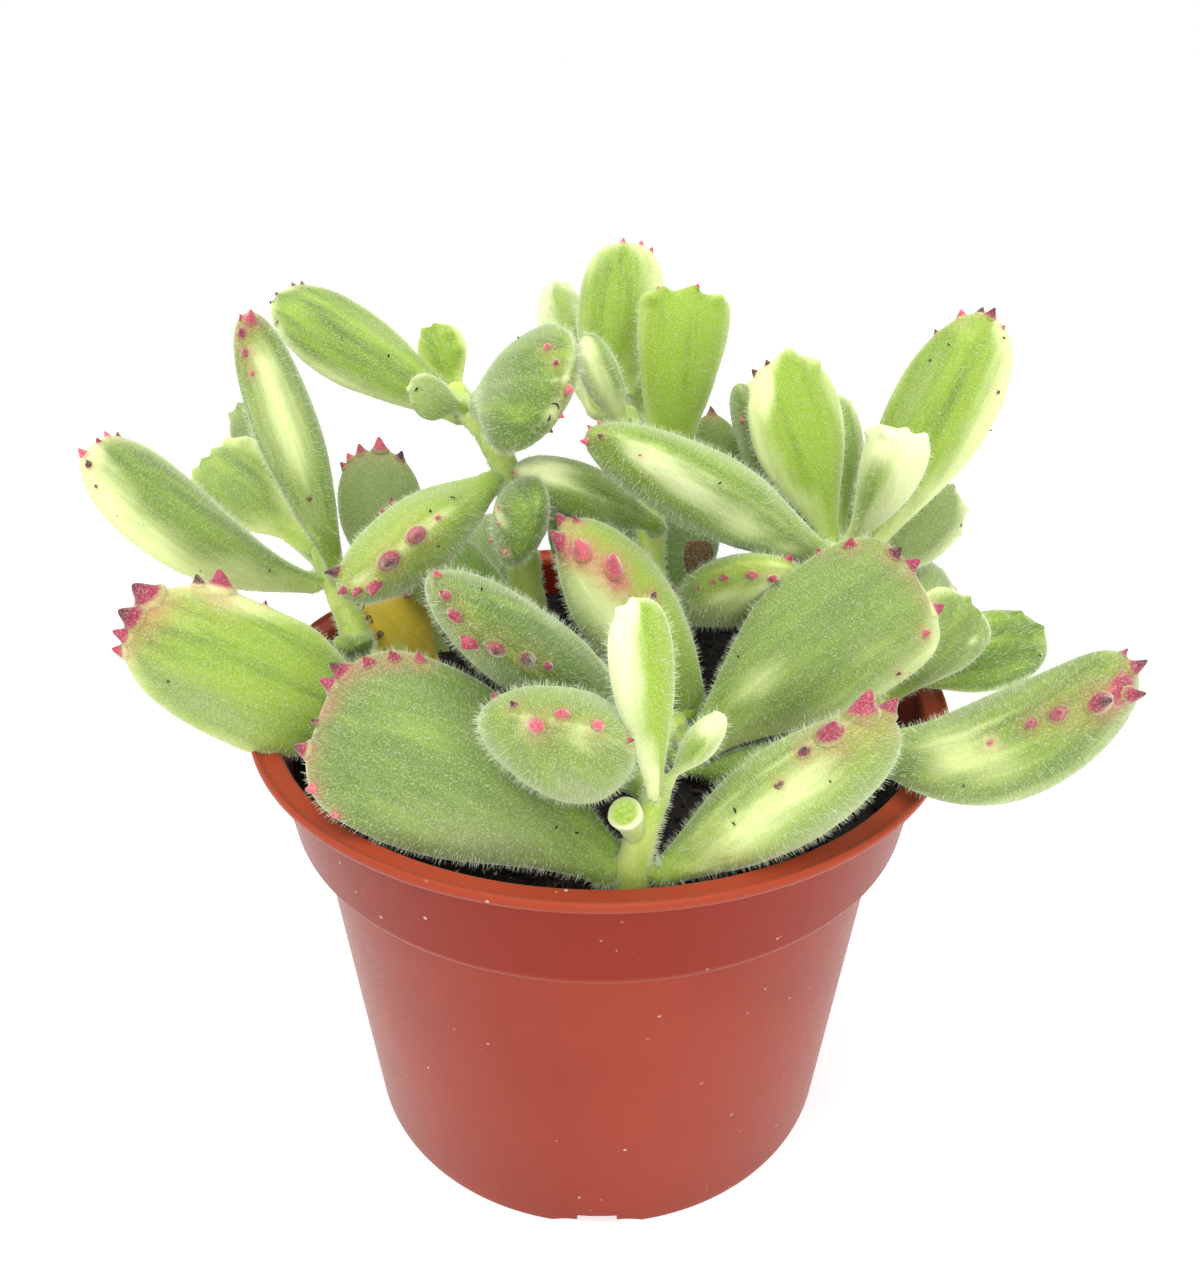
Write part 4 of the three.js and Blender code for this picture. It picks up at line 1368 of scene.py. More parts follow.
def middle_stem() -> Stem:
    """The stem in the middle, whose leaves stand highest behind the rest."""
    return Stem("middle", ((7, 8, 51.5, 2.2), (6.5, 9, 72, 1.8),
                           (6, 16, 82, 1.7), (3.5, 23, 87, 1.4)), (
        Leaf("middle_leaf_pale", (-1.4, 25.5, 87.6), (-6.8, 39.7, 100.5), 7.2, 5, -25,
            Coat(left=2.6, right=1.4, yellow=0.15, shade=-0.05, bloom=0.4),
            several(Tooth, (0.98, 130, 1.1, LEAF), (0.98, 64, 1.1, LEAF),
                (0.94, 24, 1.1, LEAF))),
        Leaf("middle_leaf_tall", (1.4, 26.0, 88.9), (3.5, 34.0, 107.0), 11.5, 5.5, 15,
            # Painted light: the low shade lightens this back leaf for the light from above and behind.
            Coat(left=1.2, right=2.8, soft=2.3, shade=-0.1, bloom=0.05, blush=0.3),
            several(Tooth, (1, 120, 0.7, PINK), (0.99, 26, 0.8, PINK),
                (0.96, 12, 0.7, PINK)), wide=0.5, neck=0.5, blunt=2.6),
        Leaf("middle_leaf_striped", (2.5, 20, 87.5), (-2, 18, 98.5), 8, 5, -30,
            Coat(left=1.6, right=0.6, bloom=0.1, streak=0.9),
            several(Tooth, (0.99, 336, 0.7, LEAF))),
        Leaf("middle_leaf_paw", (9.1, 19.5, 85.4), (10.7, 22.7, 103.0), 13, 5, 50,
            # Painted light: the low shade lightens this back leaf for the light from above and behind.
            Coat(left=0.6, right=1.0, yellow=0.6, shade=-0.28, streak=0.9, blush=0.25),
            several(Tooth, (0.94, 144, 1.7, LEAF), (0.99, 140, 1.5, LEAF),
                (1, 74, 2.1, LEAF), (0.97, 42, 1.8, LEAF), (0.99, 158, 0.4, PINK),
                (1, 76, 0.6, PINK)), several(Dab, ("bloom", 0.25, 152, 1.3, 2.5, 0.3)),
            wide=0.85, blunt=4, neck=0.55),
        Leaf("middle_leaf_front", (5.5, 5, 79.5), (-9.5, -0.6, 88), 9, 7, 15,
            Coat(left=0.4, right=0.4, yellow=0.35, bloom=0.2),
            several(Tooth, (0.99, 304, 0.6, PINK)),
            several(Dab, ("pale", 0.95, 222, 3.4, 2.9, 0.9), ("pale", 0.81, 144, 1.6, 3.4, 0.75),
                ("shade", 0.55, 168, 1.1, 2.7, 0.12), ("bloom", 0.47, 194, 0.9, 2.3, 0.4))),
        Leaf("middle_leaf_inner", (1.6, 11.5, 60.0), (-3.0, 17.5, 81.0), 11, 6, -30,
            # shade=0.3 is painted shade: this leaf lies in shadow behind the centre leaves, so its green
            # is made deep.
            Coat(shade=0.3, bloom=0.1), row_of_teeth(5, 0.9, 1.4)),
        Leaf("middle_leaf_low_back", (10.5, 13.0, 62.0), (10.5, 40.0, 70.0), 13, 7, -5,
            # shade=0.3 is painted shade: this leaf lies in shadow behind the centre leaves, so its green
            # is made deep.
            Coat(shade=0.3, bloom=0.1), row_of_teeth(7, 0.9, 1.6)),
        Leaf("middle_leaf_high_back", (6.5, 26, 84.5), (9.5, 41, 88.5), 11, 6, 15,
            Coat(left=1.4, right=1.0, bloom=0.25), row_of_teeth(6, 0.9, 1.4, claw=PINK)),
        Leaf("middle_leaf_right", (9.0, 5.1, 66.8), (22.3, -5.9, 77.8), 13.2, 7.2, 145,
            # Painted light: the low shade and the broad pale dab at 0.73 lighten this leaf where it
            # faces down into shade.
            Coat(right=0.3, shade=-0.3, bloom=0.1, streak=0.4, blush=0.3),
            several(Tooth, (0.53, 160, 0.6), (0.65, 160, 0.7), (0.73, 160, 1), (0.88, 148, 1.3),
                (0.94, 126, 1.2), (0.98, 248, 1.2), (0.97, 276, 0.7, BROWN)),
            several(Dab, ("pale", 0.87, 116, 0.9, 3.4, 0.45), ("pale", 0.64, 134, 0.9, 2.3, 0.4),
                ("pale", 0.37, 148, 1.7, 1.4, 0.5), ("pale", 0.73, 114, 3, 9.2, 0.65)), blunt=2.8),
        Leaf("middle_leaf_withered_dying", (11.6, 10.0, 68.5), (12.4, 10.5, 74.6), 4.4, 0.9, 25,
            Coat(shade=0.5), dabs=several(Dab, ("scar", 0.54, 98, 7.7, 7.7, 4)),
            modelled=False, blunt=3.5, sweep=0.08),
    ))


def centre_stem() -> Stem:
    """The short stem in the centre, with three broad clawed leaves."""
    return Stem("centre", ((7, -11, 51.5, 2.4), (8.5, -11, 60, 2.1)), (
        Leaf("centre_leaf_left", (3.8, -12.0, 61.0), (-16.6, -23.1, 83.9), 14, 9.2, -5,
            Coat(shade=0.16, bloom=0.05, streak=0.8, blush=0.25),
            several(Tooth, (0.99, 78, 1.1), (0.98, 166, 1.2), (0.94, 192, 1.5), (0.86, 208, 2),
                (0.8, 186, 1.8, MAROON), (0.7, 172, 1.6, BROWN), (0.62, 164, 1.1)),
            several(Dab, ("pale", 1, 236, 0.5, 1.4, 0.3), ("bloom", 0.6, 222, 0.8, 4.1, 0.4),
                ("scar", 0.7, 172, 0.5, 0.5, 0.7)), specks=several(Speck, (0.89, 112, 0.3))),
        Leaf("centre_leaf_tall", (10.9, -8.1, 61.8), (-3.5, -7.6, 83.8), 12.5, 11, -10,
            # The low shade and the broad pale dab at 0.57 are partly the leaf's own pale variegation and
            # partly painted light on this leaf.
            Coat(shade=-0.3, bloom=0.05, streak=0.4, blush=0.8),
            several(Tooth, (0.99, 310, 2), (0.99, 86, 1, MAROON), (0.97, 198, 2.4),
                (0.92, 152, 2.2, PINK), (0.8, 132, 2.4, PINK), (0.59, 118, 1, BROWN)),
            several(Dab, ("blush", 0.94, 178, 1.1, 1.3, 0.6), ("blush", 0.88, 152, 1.1, 1.5, 0.6),
                ("blush", 0.74, 138, 1.3, 1.9, 0.75), ("blush", 0.65, 138, 0.7, 0.9, 0.4),
                ("claw", 0.93, 180, 0.6, 0.8, 0.16), ("claw", 0.76, 138, 0.8, 1, 0.14),
                ("pale", 0.76, 162, 2.8, 4.3, 0.5), ("pale", 0.57, 184, 3.7, 8.7, 0.6),
                ("pale", 0.44, 168, 2.2, 6.6, 0.5), ("pale", 0.77, 208, 1.3, 4.4, 0.4),
                ("bloom", 0.14, 134, 0.9, 4.6, 0.4)), hook=0.55),
        Leaf("centre_leaf_right", (12.0, -15.4, 61.0), (35.4, -8.7, 77.7), 17.4, 8, 50,
            Coat(left=0.4, right=2.0, soft=2.4, yellow=0.6, shade=0.06, bloom=0.4, streak=0.5,
                blush=0.45),
            several(Tooth, (0.76, 174, 0.7), (0.86, 154, 1.3), (0.97, 130, 1.6, BROWN),
                (1, 120, 1.8), (1, 18, 1.6), (0.91, 46, 0.9, PINK), (0.74, 30, 0.5, BROWN)),
            # The pale dab at 0.29 is a painted highlight on the leaf's face.
            several(Dab, ("pale", 0.98, 108, 1.3, 1.8, 0.5), ("pale", 0.29, 98, 1.8, 4.4, 0.7),
                ("pale", 0.7, 66, 1.7, 4.4, 0.4), ("shade", 0.74, 104, 2.2, 4.4, 0.1),
                ("scar", 0.97, 130, 0.6, 0.6, 0.6), ("scar", 0.74, 30, 0.3, 0.3, 0.7)),
            specks=several(Speck, (0.3, 138, 0.3)), sweep=-0.03, blunt=3.7),
        Leaf("centre_leaf_shaded", (11, -16, 57.5), (25, -20, 59.5), 7, 4, 50,
            Coat(left=0.3, right=0.3, shade=0.1, bloom=0.2), row_of_teeth(5, 0.9, 1.2)),
    ))


def front_stem() -> Stem:
    """The young stem in front, with the stub of its cut branch."""
    return Stem("front", ((3, -34, 51.5, 2), (4, -33.5, 60, 1.7), (5.8, -32.3, 66, 1.4)), (
        Leaf("front_leaf_fan", (1.0, -33.3, 57.5), (-28.6, -24.1, 69.5), 19.4, 8, -45,
            Coat(left=0.5, right=0.5, soft=2.2, yellow=0.65, shade=0.15, bloom=0.35, blush=0.6),
            several(Tooth, (0.79, 24, 1.2), (0.86, 30, 1.3), (0.92, 38, 1.3), (0.98, 32, 2, MAROON),
                (1, 28, 1.9), (1, 108, 0.9, BROWN), (0.99, 158, 1.7, MAROON),
                (0.92, 156, 1.1, PINK), (0.82, 162, 0.8, PINK)),
            several(Dab, ("bloom", 0.36, 138, 2.6, 7.9, 0.7), ("shade", 0.42, 76, 1.4, 7, 0.08),
                ("shade", 0.66, 76, 1.4, 5, -0.1), ("blush", 0.97, 30, 0.6, 3.1, 0.4),
                ("blush", 1, 86, 0.6, 3.1, 0.4), ("scar", 0.71, 116, 0.3, 0.4, 0.9),
                ("blush", 0.93, 164, 0.6, 3, 0.4), ("pale", 0.9, 56, 1.4, 3.1, 0.25),
                ("pale", 0.93, 108, 1.4, 3, 0.2)),
            specks=several(Speck, (0.13, 80, 0.4), (0.19, 90, 0.3)), sweep=0.03, wide=0.68, blunt=3.0),
        Leaf("front_leaf_right", (7, -33.8, 57.3), (29.2, -29.8, 71.8), 12.3, 9.6, 110,
            Coat(yellow=0.6, shade=-0.02, bloom=0.3, streak=0.6),
            several(Tooth, (0.98, 208, 2.3), (0.91, 194, 2.9), (0.78, 176, 2.5),
                (0.67, 172, 1.2, BROWN), (0.54, 156, 0.6, BROWN)),
            several(Dab, ("pale", 0.64, 138, 2.8, 4.2, 0.6), ("pale", 0.36, 136, 3.3, 5.4, 0.65),
                ("pale", 0.13, 130, 2.6, 4.3, 0.5), ("pale", 0.51, 142, 1.1, 5.7, 0.25),
                ("scar", 0.53, 156, 0.4, 0.4, 1), ("bloom", 0.61, 90, 1.5, 5.8, 0.5)),
            specks=several(Speck, (0.35, 164, 0.7), (0.32, 152, 0.6), (0.69, 128, 0.3), (0.18, 86, 0.4)),
            hook=0.25),
        Leaf("front_leaf_pointing", (1.9, -27.6, 64.9), (-7.2, -38.6, 78.1), 14.6, 10.5, 15,
            Coat(yellow=0.6, shade=0.02, bloom=0.2, streak=0.4, blush=0.4),
            several(Tooth, (0.91, 40, 0.8, MAROON), (0.99, 70, 0.8, BROWN),
                (0.99, 218, 1.6, PINK), (0.96, 158, 1.2, PINK), (0.85, 170, 1.1, PINK),
                (0.62, 172, 0.7)),
            several(Dab, ("pale", 0.99, 250, 1.4, 2.3, 0.5), ("pale", 0.87, 200, 1.6, 3.5, 0.5),
                ("bloom", 0.62, 242, 1.5, 5.5, 0.6), ("scar", 0.72, 224, 0.3, 0.3, 0.8)),
            hook=0.0, blunt=2.6),
        Leaf("front_leaf_young", (5.3, -34.4, 67.5), (3.0, -35.9, 88.2), 6.5, 4.5, -90,
            Coat(left=2.1, right=0.6, soft=1.1, yellow=0.2, shade=-0.26, streak=0.6, rag=0.8),
            several(Tooth, (0.98, 204, 0.8, LEAF), (0.99, 274, 0.8, LEAF),
                (0.99, 62, 0.7, LEAF)),
            several(Dab, ("pale", 0.99, 136, 0.9, 0.9, 0.9), ("pale", 0.83, 140, 0.7, 3.5, 0.5),
                ("pale", 0.56, 124, 1.3, 2.7, 0.35)), wide=0.72, blunt=2.6),
        Leaf("front_leaf_youngest", (7.3, -32.7, 68.1), (11.7, -33.0, 75.0), 3.3, 3.2, 70,
            Coat(left=1.2, right=1.2, soft=1.2, yellow=0.15, shade=-0.15),
            several(Tooth, (0.96, 150, 0.7, LEAF)), several(Dab, ("pale", 0.79, 98, 0.9, 1.1, 0.6)),
            wide=0.55, blunt=2.0),
    ), Stub((3.8, -33.2, 61.5), (2.5, -35.6, 65.5), 1.5))


def low_left_stem() -> Stem:
    """The low stem on the left, with one thick clawed leaf."""
    return Stem("low_left", ((-20, -7, 51.5, 2.2), (-22, -8, 57.5, 2)), (
        Leaf("low_left_leaf", (-24.5, -10.3, 57.8), (-51.0, -13.2, 74.5), 16, 7, -60,
            # Painted light: the low shade lightens this leaf.
            Coat(left=0.7, right=0.8, soft=2.0, yellow=0.6, shade=-0.14, bloom=0.15, streak=0.9,
                blush=0.6),
            several(Tooth, (0.79, 4, 2.7), (0.86, 4, 1.4, BROWN), (0.98, 24, 3.1, MAROON),
                (0.99, 82, 2.6, MAROON), (0.99, 130, 1.7), (0.98, 174, 1.5), (0.63, 4, 0.6)),
            several(Dab, ("bloom", 0.68, 132, 2.4, 7.7, 0.8), ("shade", 0.79, 92, 1.7, 5.4, 0.1),
                # The pale dab at 0.71 is a painted highlight on the top of the leaf.
                ("pale", 0.71, 32, 1.6, 3.8, 0.6), ("pale", 0.85, 68, 1.5, 3.3, 0.3),
                ("blush", 0.98, 70, 0.8, 2.8, 0.3)), specks=several(Speck, (0.81, 128, 0.3)),
            wide=0.5, blunt=2.6),
    ))


def back_left_stem() -> Stem:
    """The stem at the back on the left, with the dying leaf."""
    return Stem("back_left", ((-22, 17, 51.5, 2), (-25, 18, 60, 1.8)), (
        Leaf("back_left_leaf_paw", (-28.5, 20, 61.5), (-32, 30, 79.5), 12, 5, -15,
            Coat(left=0.3, right=0.3, shade=0.1, bloom=0.75, streak=0.4, blush=0.3),
            several(Tooth, (0.92, 170, 1.1), (0.96, 166, 1.3, PINK), (0.99, 146, 1.5),
                (0.99, 42, 2, PINK), (0.92, 20, 1.3, BROWN))),
        Leaf("back_left_leaf_inner", (-26, 16.5, 62), (-27, 21, 75.5), 8, 4, -15,
            Coat(left=0.3, right=0.3, shade=0.1, bloom=0.75, streak=0.4, blush=0.3),
            several(Tooth, (0.99, 166, 0.9), (0.9, 134, 1.1, PINK))),
        Leaf("back_left_leaf_dying", (-22.5, 11.9, 54.9), (-30.1, 9.6, 66.6), 10.4, 3, -70,
            Coat(left=9.0, right=9.0, yellow=1.8, blush=0.2),
            several(Tooth, (0.99, 200, 1, BROWN), (0.71, 116, 0.9, BROWN)),
            several(Dab, ("scar", 0.99, 200, 0.6, 0.6, 0.9), ("scar", 0.7, 116, 0.7, 0.7, 0.9),
                ("scar", 0.87, 116, 0.5, 1.2, 0.8), ("yellow", 0.45, 112, 1.1, 1.8, -0.4),
                ("blush", 0.91, 94, 0.6, 1.8, 0.3))),
    ))


def back_right_stem() -> Stem:
    """The stem at the back on the right, with its crown of tall leaves."""
    return Stem("back_right", ((24, 8, 51.5, 2.3), (27, 9, 64, 2), (30, 10, 73, 1.6)), (
        Leaf("back_right_leaf_edge", (26.5, 5, 75.5), (-1, -8, 94.5), 12, 9, 20,
            Coat(yellow=0.45, streak=0.5, blush=0.35),
            several(Tooth, (0.99, 202, 0.6, BROWN), (0.99, 298, 1, PINK),
                (0.99, 52, 0.6, PINK), (0.98, 88, 0.6, PINK), (0.89, 202, 0.3, PINK)),
            several(Dab, ("pale", 0.87, 202, 1.6, 3.8, 0.9), ("pale", 0.7, 212, 2.2, 4.9, 1),
                ("pale", 0.43, 220, 2.2, 5.2, 1), ("pale", 0.17, 226, 1.4, 3.5, 0.8),
                ("yellow", 0.7, 212, 0.6, 8.6, -0.4)), specks=several(Speck, (0.62, 182, 0.4))),
        Leaf("back_right_leaf_paw", (29.0, 11.5, 75.5), (21.1, 12.9, 97.3), 12.8, 5, -55,
            # Painted light: the low shade lightens this back leaf for the light from above and behind.
            Coat(left=1.9, right=1.2, soft=1.8, shade=-0.22, bloom=0.03, streak=0.9, blush=0.2),
            several(Tooth, (0.96, 190, 1, BROWN), (0.99, 154, 0.7, BROWN),
                (0.99, 46, 2.3, LEAF), (0.94, 50, 1.1, LEAF), (0.89, 30, 1.8, LEAF),
                (0.92, 188, 1.3, LEAF)),
            several(Dab, ("pale", 0.87, 134, 1, 2.4, 0.7), ("pale", 0.69, 44, 0.6, 2.4, 0.3))),
        Leaf("back_right_leaf_fuzzy", (31.7, 9.3, 75.5), (35.1, 4.9, 90.8), 8, 5, 105,
            Coat(left=2.4, right=2.8, yellow=0.3, shade=-0.12, bloom=0.3),
            several(Tooth, (0.99, 338, 1.6, LEAF), (0.99, 274, 1.1, LEAF),
                (0.96, 116, 1.1, LEAF), (0.9, 170, 1.1, LEAF)),
            several(Dab, ("pale", 0.75, 52, 3, 5.8, 0.4), ("pale", 0.91, 96, 3, 2.3, 0.8),
                ("pale", 0.8, 38, 1.4, 3.5, 0.6), ("scar", 0.55, 108, 0.5, 0.6, 0.3)),
            wide=0.84, blunt=4.0, sweep=0.05),
        Leaf("back_right_leaf_tall", (33.5, 12, 72), (48, 18, 101), 12.8, 6, 60,
            Coat(left=0.5, right=2.9, soft=2.0, yellow=0.55, shade=-0.12, bloom=0.08, blush=0.25),
            several(Tooth, (0.86, 178, 0.6, BROWN), (0.95, 178, 1.1, PINK),
                (0.99, 172, 1, BROWN), (1, 116, 1.3, MAROON), (0.98, 54, 0.6, PINK),
                (0.77, 40, 0.5, BROWN)),
            several(Dab, ("bloom", 0.61, 130, 1, 7.4, 0.6), ("shade", 0.59, 92, 1, 7.4, 0.06),
                ("pale", 0.91, 126, 1.5, 1.2, 0.4)),
            specks=several(Speck, (0.84, 130, 0.4), (0.76, 138, 0.4), (0.95, 54, 0.5), (0.64, 12, 0.5),
                (0.33, 10, 0.5))),
        Leaf("back_right_leaf_low", (34.3, 13.7, 67.2), (47.5, 21.7, 77.4), 10, 5, 40,
            Coat(left=0.4, right=1.2, yellow=0.3, shade=0.03, bloom=0.75),
            row_of_teeth(5, 0.9, 1.2, claw=LEAF),
            several(Dab, ("scar", 0.82, 24, 0.4, 0.4, 0.8), ("scar", 0.7, 4, 0.4, 0.4, 0.7))),
        Leaf("back_right_leaf_inner", (27.0, 14.5, 73.0), (17.4, 21.5, 91.7), 10.5, 6.5, 40,
            Coat(left=0.4, right=0.4, shade=0.03, bloom=0.5),
            several(Tooth, (0.79, 220, 0.6, PINK))),
        Leaf("back_right_leaf_dark", (23.2, 16.0, 68.0), (14.2, 28.1, 85.5), 7, 4.5, -35,
            Coat(left=0.3, right=0.3, shade=0.1, bloom=0.5),
            several(Tooth, (0.99, 28, 1.1, MAROON))),
        Leaf("back_right_leaf_narrow", (31.0, 14.3, 75.6), (29.7, 21.1, 90.7), 8, 4, 10,
            Coat(left=1.6, right=1.2, yellow=0.4, bloom=0.3), row_of_teeth(3, 0.6, 0.9, claw=LEAF),
            several(Dab, ("scar", 0.74, 60, 0.4, 0.4, 0.6))),
        Leaf("back_right_leaf_back", (29.3, 15, 68.3), (36, 37, 79), 11, 6, 10,
            Coat(left=1.2, right=1.8, bloom=0.25), row_of_teeth(6, 0.9, 1.5)),
        Leaf("back_right_leaf_low_back", (25, 13, 60), (31, 40, 67), 13, 7, 15,
            Coat(left=1.8, right=1.0, bloom=0.25), row_of_teeth(7, 0.9, 1.6)),
    ))


def right_stem() -> Stem:
    """The stem that leans out over the lip on the right."""
    return Stem("right", ((27, -16, 51.5, 2.2), (29, -14.5, 58, 2),
                          (32.5, -8, 61, 1.8), (33.5, -3, 62.5, 1.5)), (
        Leaf("right_leaf_thick", (30.0, -19.6, 63.0), (50.8, -28.6, 78.7), 10.7, 10.9, 125,
            Coat(yellow=0.7, shade=0.02, bloom=0.3, streak=0.8, blush=0.4),
            several(Tooth, (1, 156, 0.8), (0.98, 108, 1.7, MAROON), (0.92, 98, 1.9, MAROON),
                (0.85, 128, 2.2, MAROON), (0.75, 148, 1.6), (0.67, 156, 1.1),
                (0.53, 158, 0.7, PINK)),
            several(Dab, ("claw", 0.92, 112, 0.9, 1.2, 0.9), ("ripe", 0.92, 112, 1.1, 1.5, 0.5),
                # The pale dab at 0.38 is partly the leaf's own cream patch and partly a painted
                # highlight where light strikes it.
                ("blush", 0.88, 116, 1.5, 1.7, 0.5), ("pale", 0.38, 164, 3.2, 4.4, 0.9),
                ("pale", 0.53, 132, 2.5, 3.9, 0.5), ("bloom", 0.42, 210, 0.8, 6, 0.4),
                ("pale", 0.49, 86, 1.2, 5.9, 0.4), ("pale", 0.8, 86, 1.1, 2.8, 0.3),
                ("pale", 0.53, 158, 0.7, 0.7, 0.5), ("scar", 0.37, 186, 0.3, 0.5, 0.7),
                ("scar", 0.49, 162, 0.3, 0.5, 0.5)), specks=several(Speck, (0.4, 122, 0.4)),
            bend=0.18, blunt=3.2),
        Leaf("right_leaf_crenate", (34.9, -6.7, 62.3), (43.6, -3.5, 72.6), 11, 5, 80,
            Coat(left=0.8, right=0.8, bloom=0.35),
            several(Tooth, (1, 156, 1.2, LEAF), (0.96, 78, 1.2, LEAF),
                (0.8, 56, 1.2, LEAF)), several(Dab, ("pale", 0.76, 64, 0.7, 0.9, 0.9)),
            wide=0.75, blunt=3),
        Leaf("right_leaf_bright", (36, -3.5, 62.6), (56, 4, 64.6), 10, 5, 45,
            Coat(left=0.4, right=0.4, soft=0.8, yellow=0.9, shade=0.05, streak=1.0),
            several(Tooth, (0.74, 138, 1.2, LEAF), (0.87, 144, 1.3, LEAF),
                (0.96, 108, 1.3, LEAF), (0.86, 56, 1.1, LEAF)),
            specks=several(Speck, (0.85, 54, 0.6))),
        Leaf("right_leaf_back", (34.8, 0.5, 62.8), (47, 25, 64.7), 11, 6, 25,
            Coat(left=1.2, right=1.6, bloom=0.25), row_of_teeth(6, 0.9, 1.4)),
    ))


@dataclass(frozen=True)
class Plant:
    """The whole plant: its stems with their leaves."""

    hair_density: float = 12.0

    def stems(self) -> tuple[Stem, ...]:
        """The stems, with their leaves as they stand in the photo."""
        return (left_stem(), tall_left_stem(), middle_stem(), centre_stem(), front_stem(),
                low_left_stem(), back_left_stem(), back_right_stem(), right_stem())

    def build(self, peat: bpy.types.Material) -> None:
        """Makes every stem, leaf and hair.

        Args:
            peat: The finish of the peat on the leaves.
        """
        finishes = PlantFinishes(StemFinish().material(), LeafFinish().material(),
                                 HairFinish().material(), peat)
        for stem in self.stems():
            stem.build(finishes, self.hair_density)


@dataclass(frozen=True)
class Pot:
    """The nursery pot: a turned wall with a flat lip, a collar, a foot with notches and a floor."""

    height: float = 60.0
    lip_radius: float = 42.5
    lip_inner: float = 39.6
    lip_fall: float = 0.5
    lip_edge: float = 0.9
    lip_thickness: float = 1.4
    collar_top: float = 40.2
    collar_foot: float = 38.6
    collar_height: float = 46.2
    body_top: float = 36.0
    foot_radius: float = 31.5
    foot_width: float = 1.8
    wall: float = 1.0
    floor_underside: float = 3.0
    floor_thickness: float = 1.2
    notch_width: float = 5.0
    notch_height: float = 1.6
    dent_width: float = 10.5
    dent_depth: float = 0.4
    notches: int = 4
    holes: int = 8
    hole_radius: float = 3.0
    hole_ring: float = 21.0

    def profile(self) -> Array:
        """The wall's section as radius and height, from the floor's underside round to its top.

        Returns:
            Points as radius and height.
        """
        floor_top = self.floor_underside + self.floor_thickness
        edge = 0.3
        corners = [
            (0.0, self.floor_underside, 0.0),
            (self.foot_radius - self.foot_width - 0.5, self.floor_underside, 0.3),
            (self.foot_radius - self.foot_width, 0.0, 0.15),
            (self.foot_radius, 0.0, 0.25),
            (self.foot_radius + 0.16, self.notch_height, 0.0),
            (self.foot_radius + 0.165, self.notch_height + 0.04, 0.0),
            (self.body_top, self.collar_height - 0.5, 0.35),
            (self.collar_foot - edge, self.collar_height, 0.2),
            (self.collar_foot, self.collar_height + 0.6, 0.35),
            (self.collar_top, self.height - self.lip_thickness - 0.2, 0.25),
            (self.lip_radius - edge, self.height - self.lip_thickness, 0.2),
            (self.lip_radius, self.height - self.lip_edge, 0.2),
            (self.lip_radius, self.height - edge, 0.15),
            (self.lip_radius - edge, self.height, 0.15),
            (self.lip_radius - 1.0, self.height - self.lip_fall, 0.25),
            (self.lip_inner, self.height - self.lip_fall, 0.25),
            (self.collar_top - self.wall, self.height - 1.3, 0.2),
            (self.collar_foot - self.wall, self.collar_height + 1.0, 0.3),
            (self.body_top - self.wall, self.collar_height - 0.3, 0.3),
            (self.foot_radius - self.wall + 0.4, floor_top + 0.6, 0.4),
            (self.foot_radius - self.wall - 0.4, floor_top, 0.3),
            (0.0, floor_top, 0.0),
        ]
        return rounded(corners, 4)

    def wall_shell(self) -> Shell:
        """The turned wall, with a shallow dent round each notch.

        Where a notch is, what lies lower than its roof is raised to it.

        Returns:
            The wall.
        """
        profile = self.profile()
        inner = profile[(profile[:, 0] > 1e-6)]
        half = math.asin(self.notch_width / 2 / self.foot_radius)
        sharp = 0.0012
        turns = []
        for i in range(self.notches):
            middle = 2 * math.pi * i / self.notches
            cut = np.array([-half - sharp, -half, half, half + sharp])
            turns.append(middle + cut)
            turns.append(middle + np.linspace(-half, half, 7)[1:-1])
            turns.append(middle + np.linspace(half + sharp, 2 * math.pi / self.notches - half - sharp,
                                              44)[1:-1])
        turn = np.sort(np.concatenate(turns))
        apart = np.abs((turn * self.notches / (2 * math.pi) + 0.5) % 1 - 0.5)
        notched = apart * 2 * math.pi / self.notches <= half + 1e-9
        angle = -turn
        aside = apart * 2 * math.pi / self.notches * self.foot_radius
        outer = (inner[:, 0] > self.foot_radius - 0.45) & (inner[:, 1] <= self.notch_height + 1e-6)
        dent = self.dent_depth * (1 - smooth_step(0.4 * self.dent_width, 0.5 * self.dent_width, aside))
        radius = inner[:, 0][:, None] - outer[:, None] * dent[None]
        height = np.where(notched[None], np.maximum(inner[:, 1][:, None], self.notch_height),
                          inner[:, 1][:, None])
        rings = np.stack([radius * np.cos(angle), radius * np.sin(angle), height], -1)
        centre = [np.array([0.0, 0.0, profile[0, 1]]), np.array([0.0, 0.0, profile[-1, 1]])]
        points, quads, tris = wrapped(rings[:, ::-1], centre[0], centre[1])
        return Shell(points, quads, tris)

    def build(self) -> None:
        """Makes the pot and cuts its drain holes."""
        piece = make_piece("pot_wall", [self.wall_shell()], [PotFinish().material()],
                           ("pot",))
        cutters = []
        for i in range(self.holes):
            turn = 2 * math.pi * (i + 0.5) / self.holes
            at = (self.hole_ring * MM * math.cos(turn), self.hole_ring * MM * math.sin(turn),
                  (self.floor_underside + self.floor_thickness / 2) * MM)
            bpy.ops.mesh.primitive_cylinder_add(vertices=40, radius=self.hole_radius * MM,
                                                depth=4 * MM, location=at)
            cutters.append(bpy.context.object)
        group = bpy.data.collections.new("drain_cutters")
        for cutter in cutters:
            group.objects.link(cutter)
        bpy.context.scene.collection.children.link(group)
        cut = piece.modifiers.new("drain_holes", "BOOLEAN")
        cut.operand_type = "COLLECTION"
        cut.collection = group
        cut.solver = "EXACT"
        bpy.context.view_layer.objects.active = piece
        bpy.ops.object.modifier_apply(modifier=cut.name)
        for cutter in cutters:
            bpy.data.objects.remove(cutter)
        bpy.data.collections.remove(group)
        sharpen(piece, 40.0)


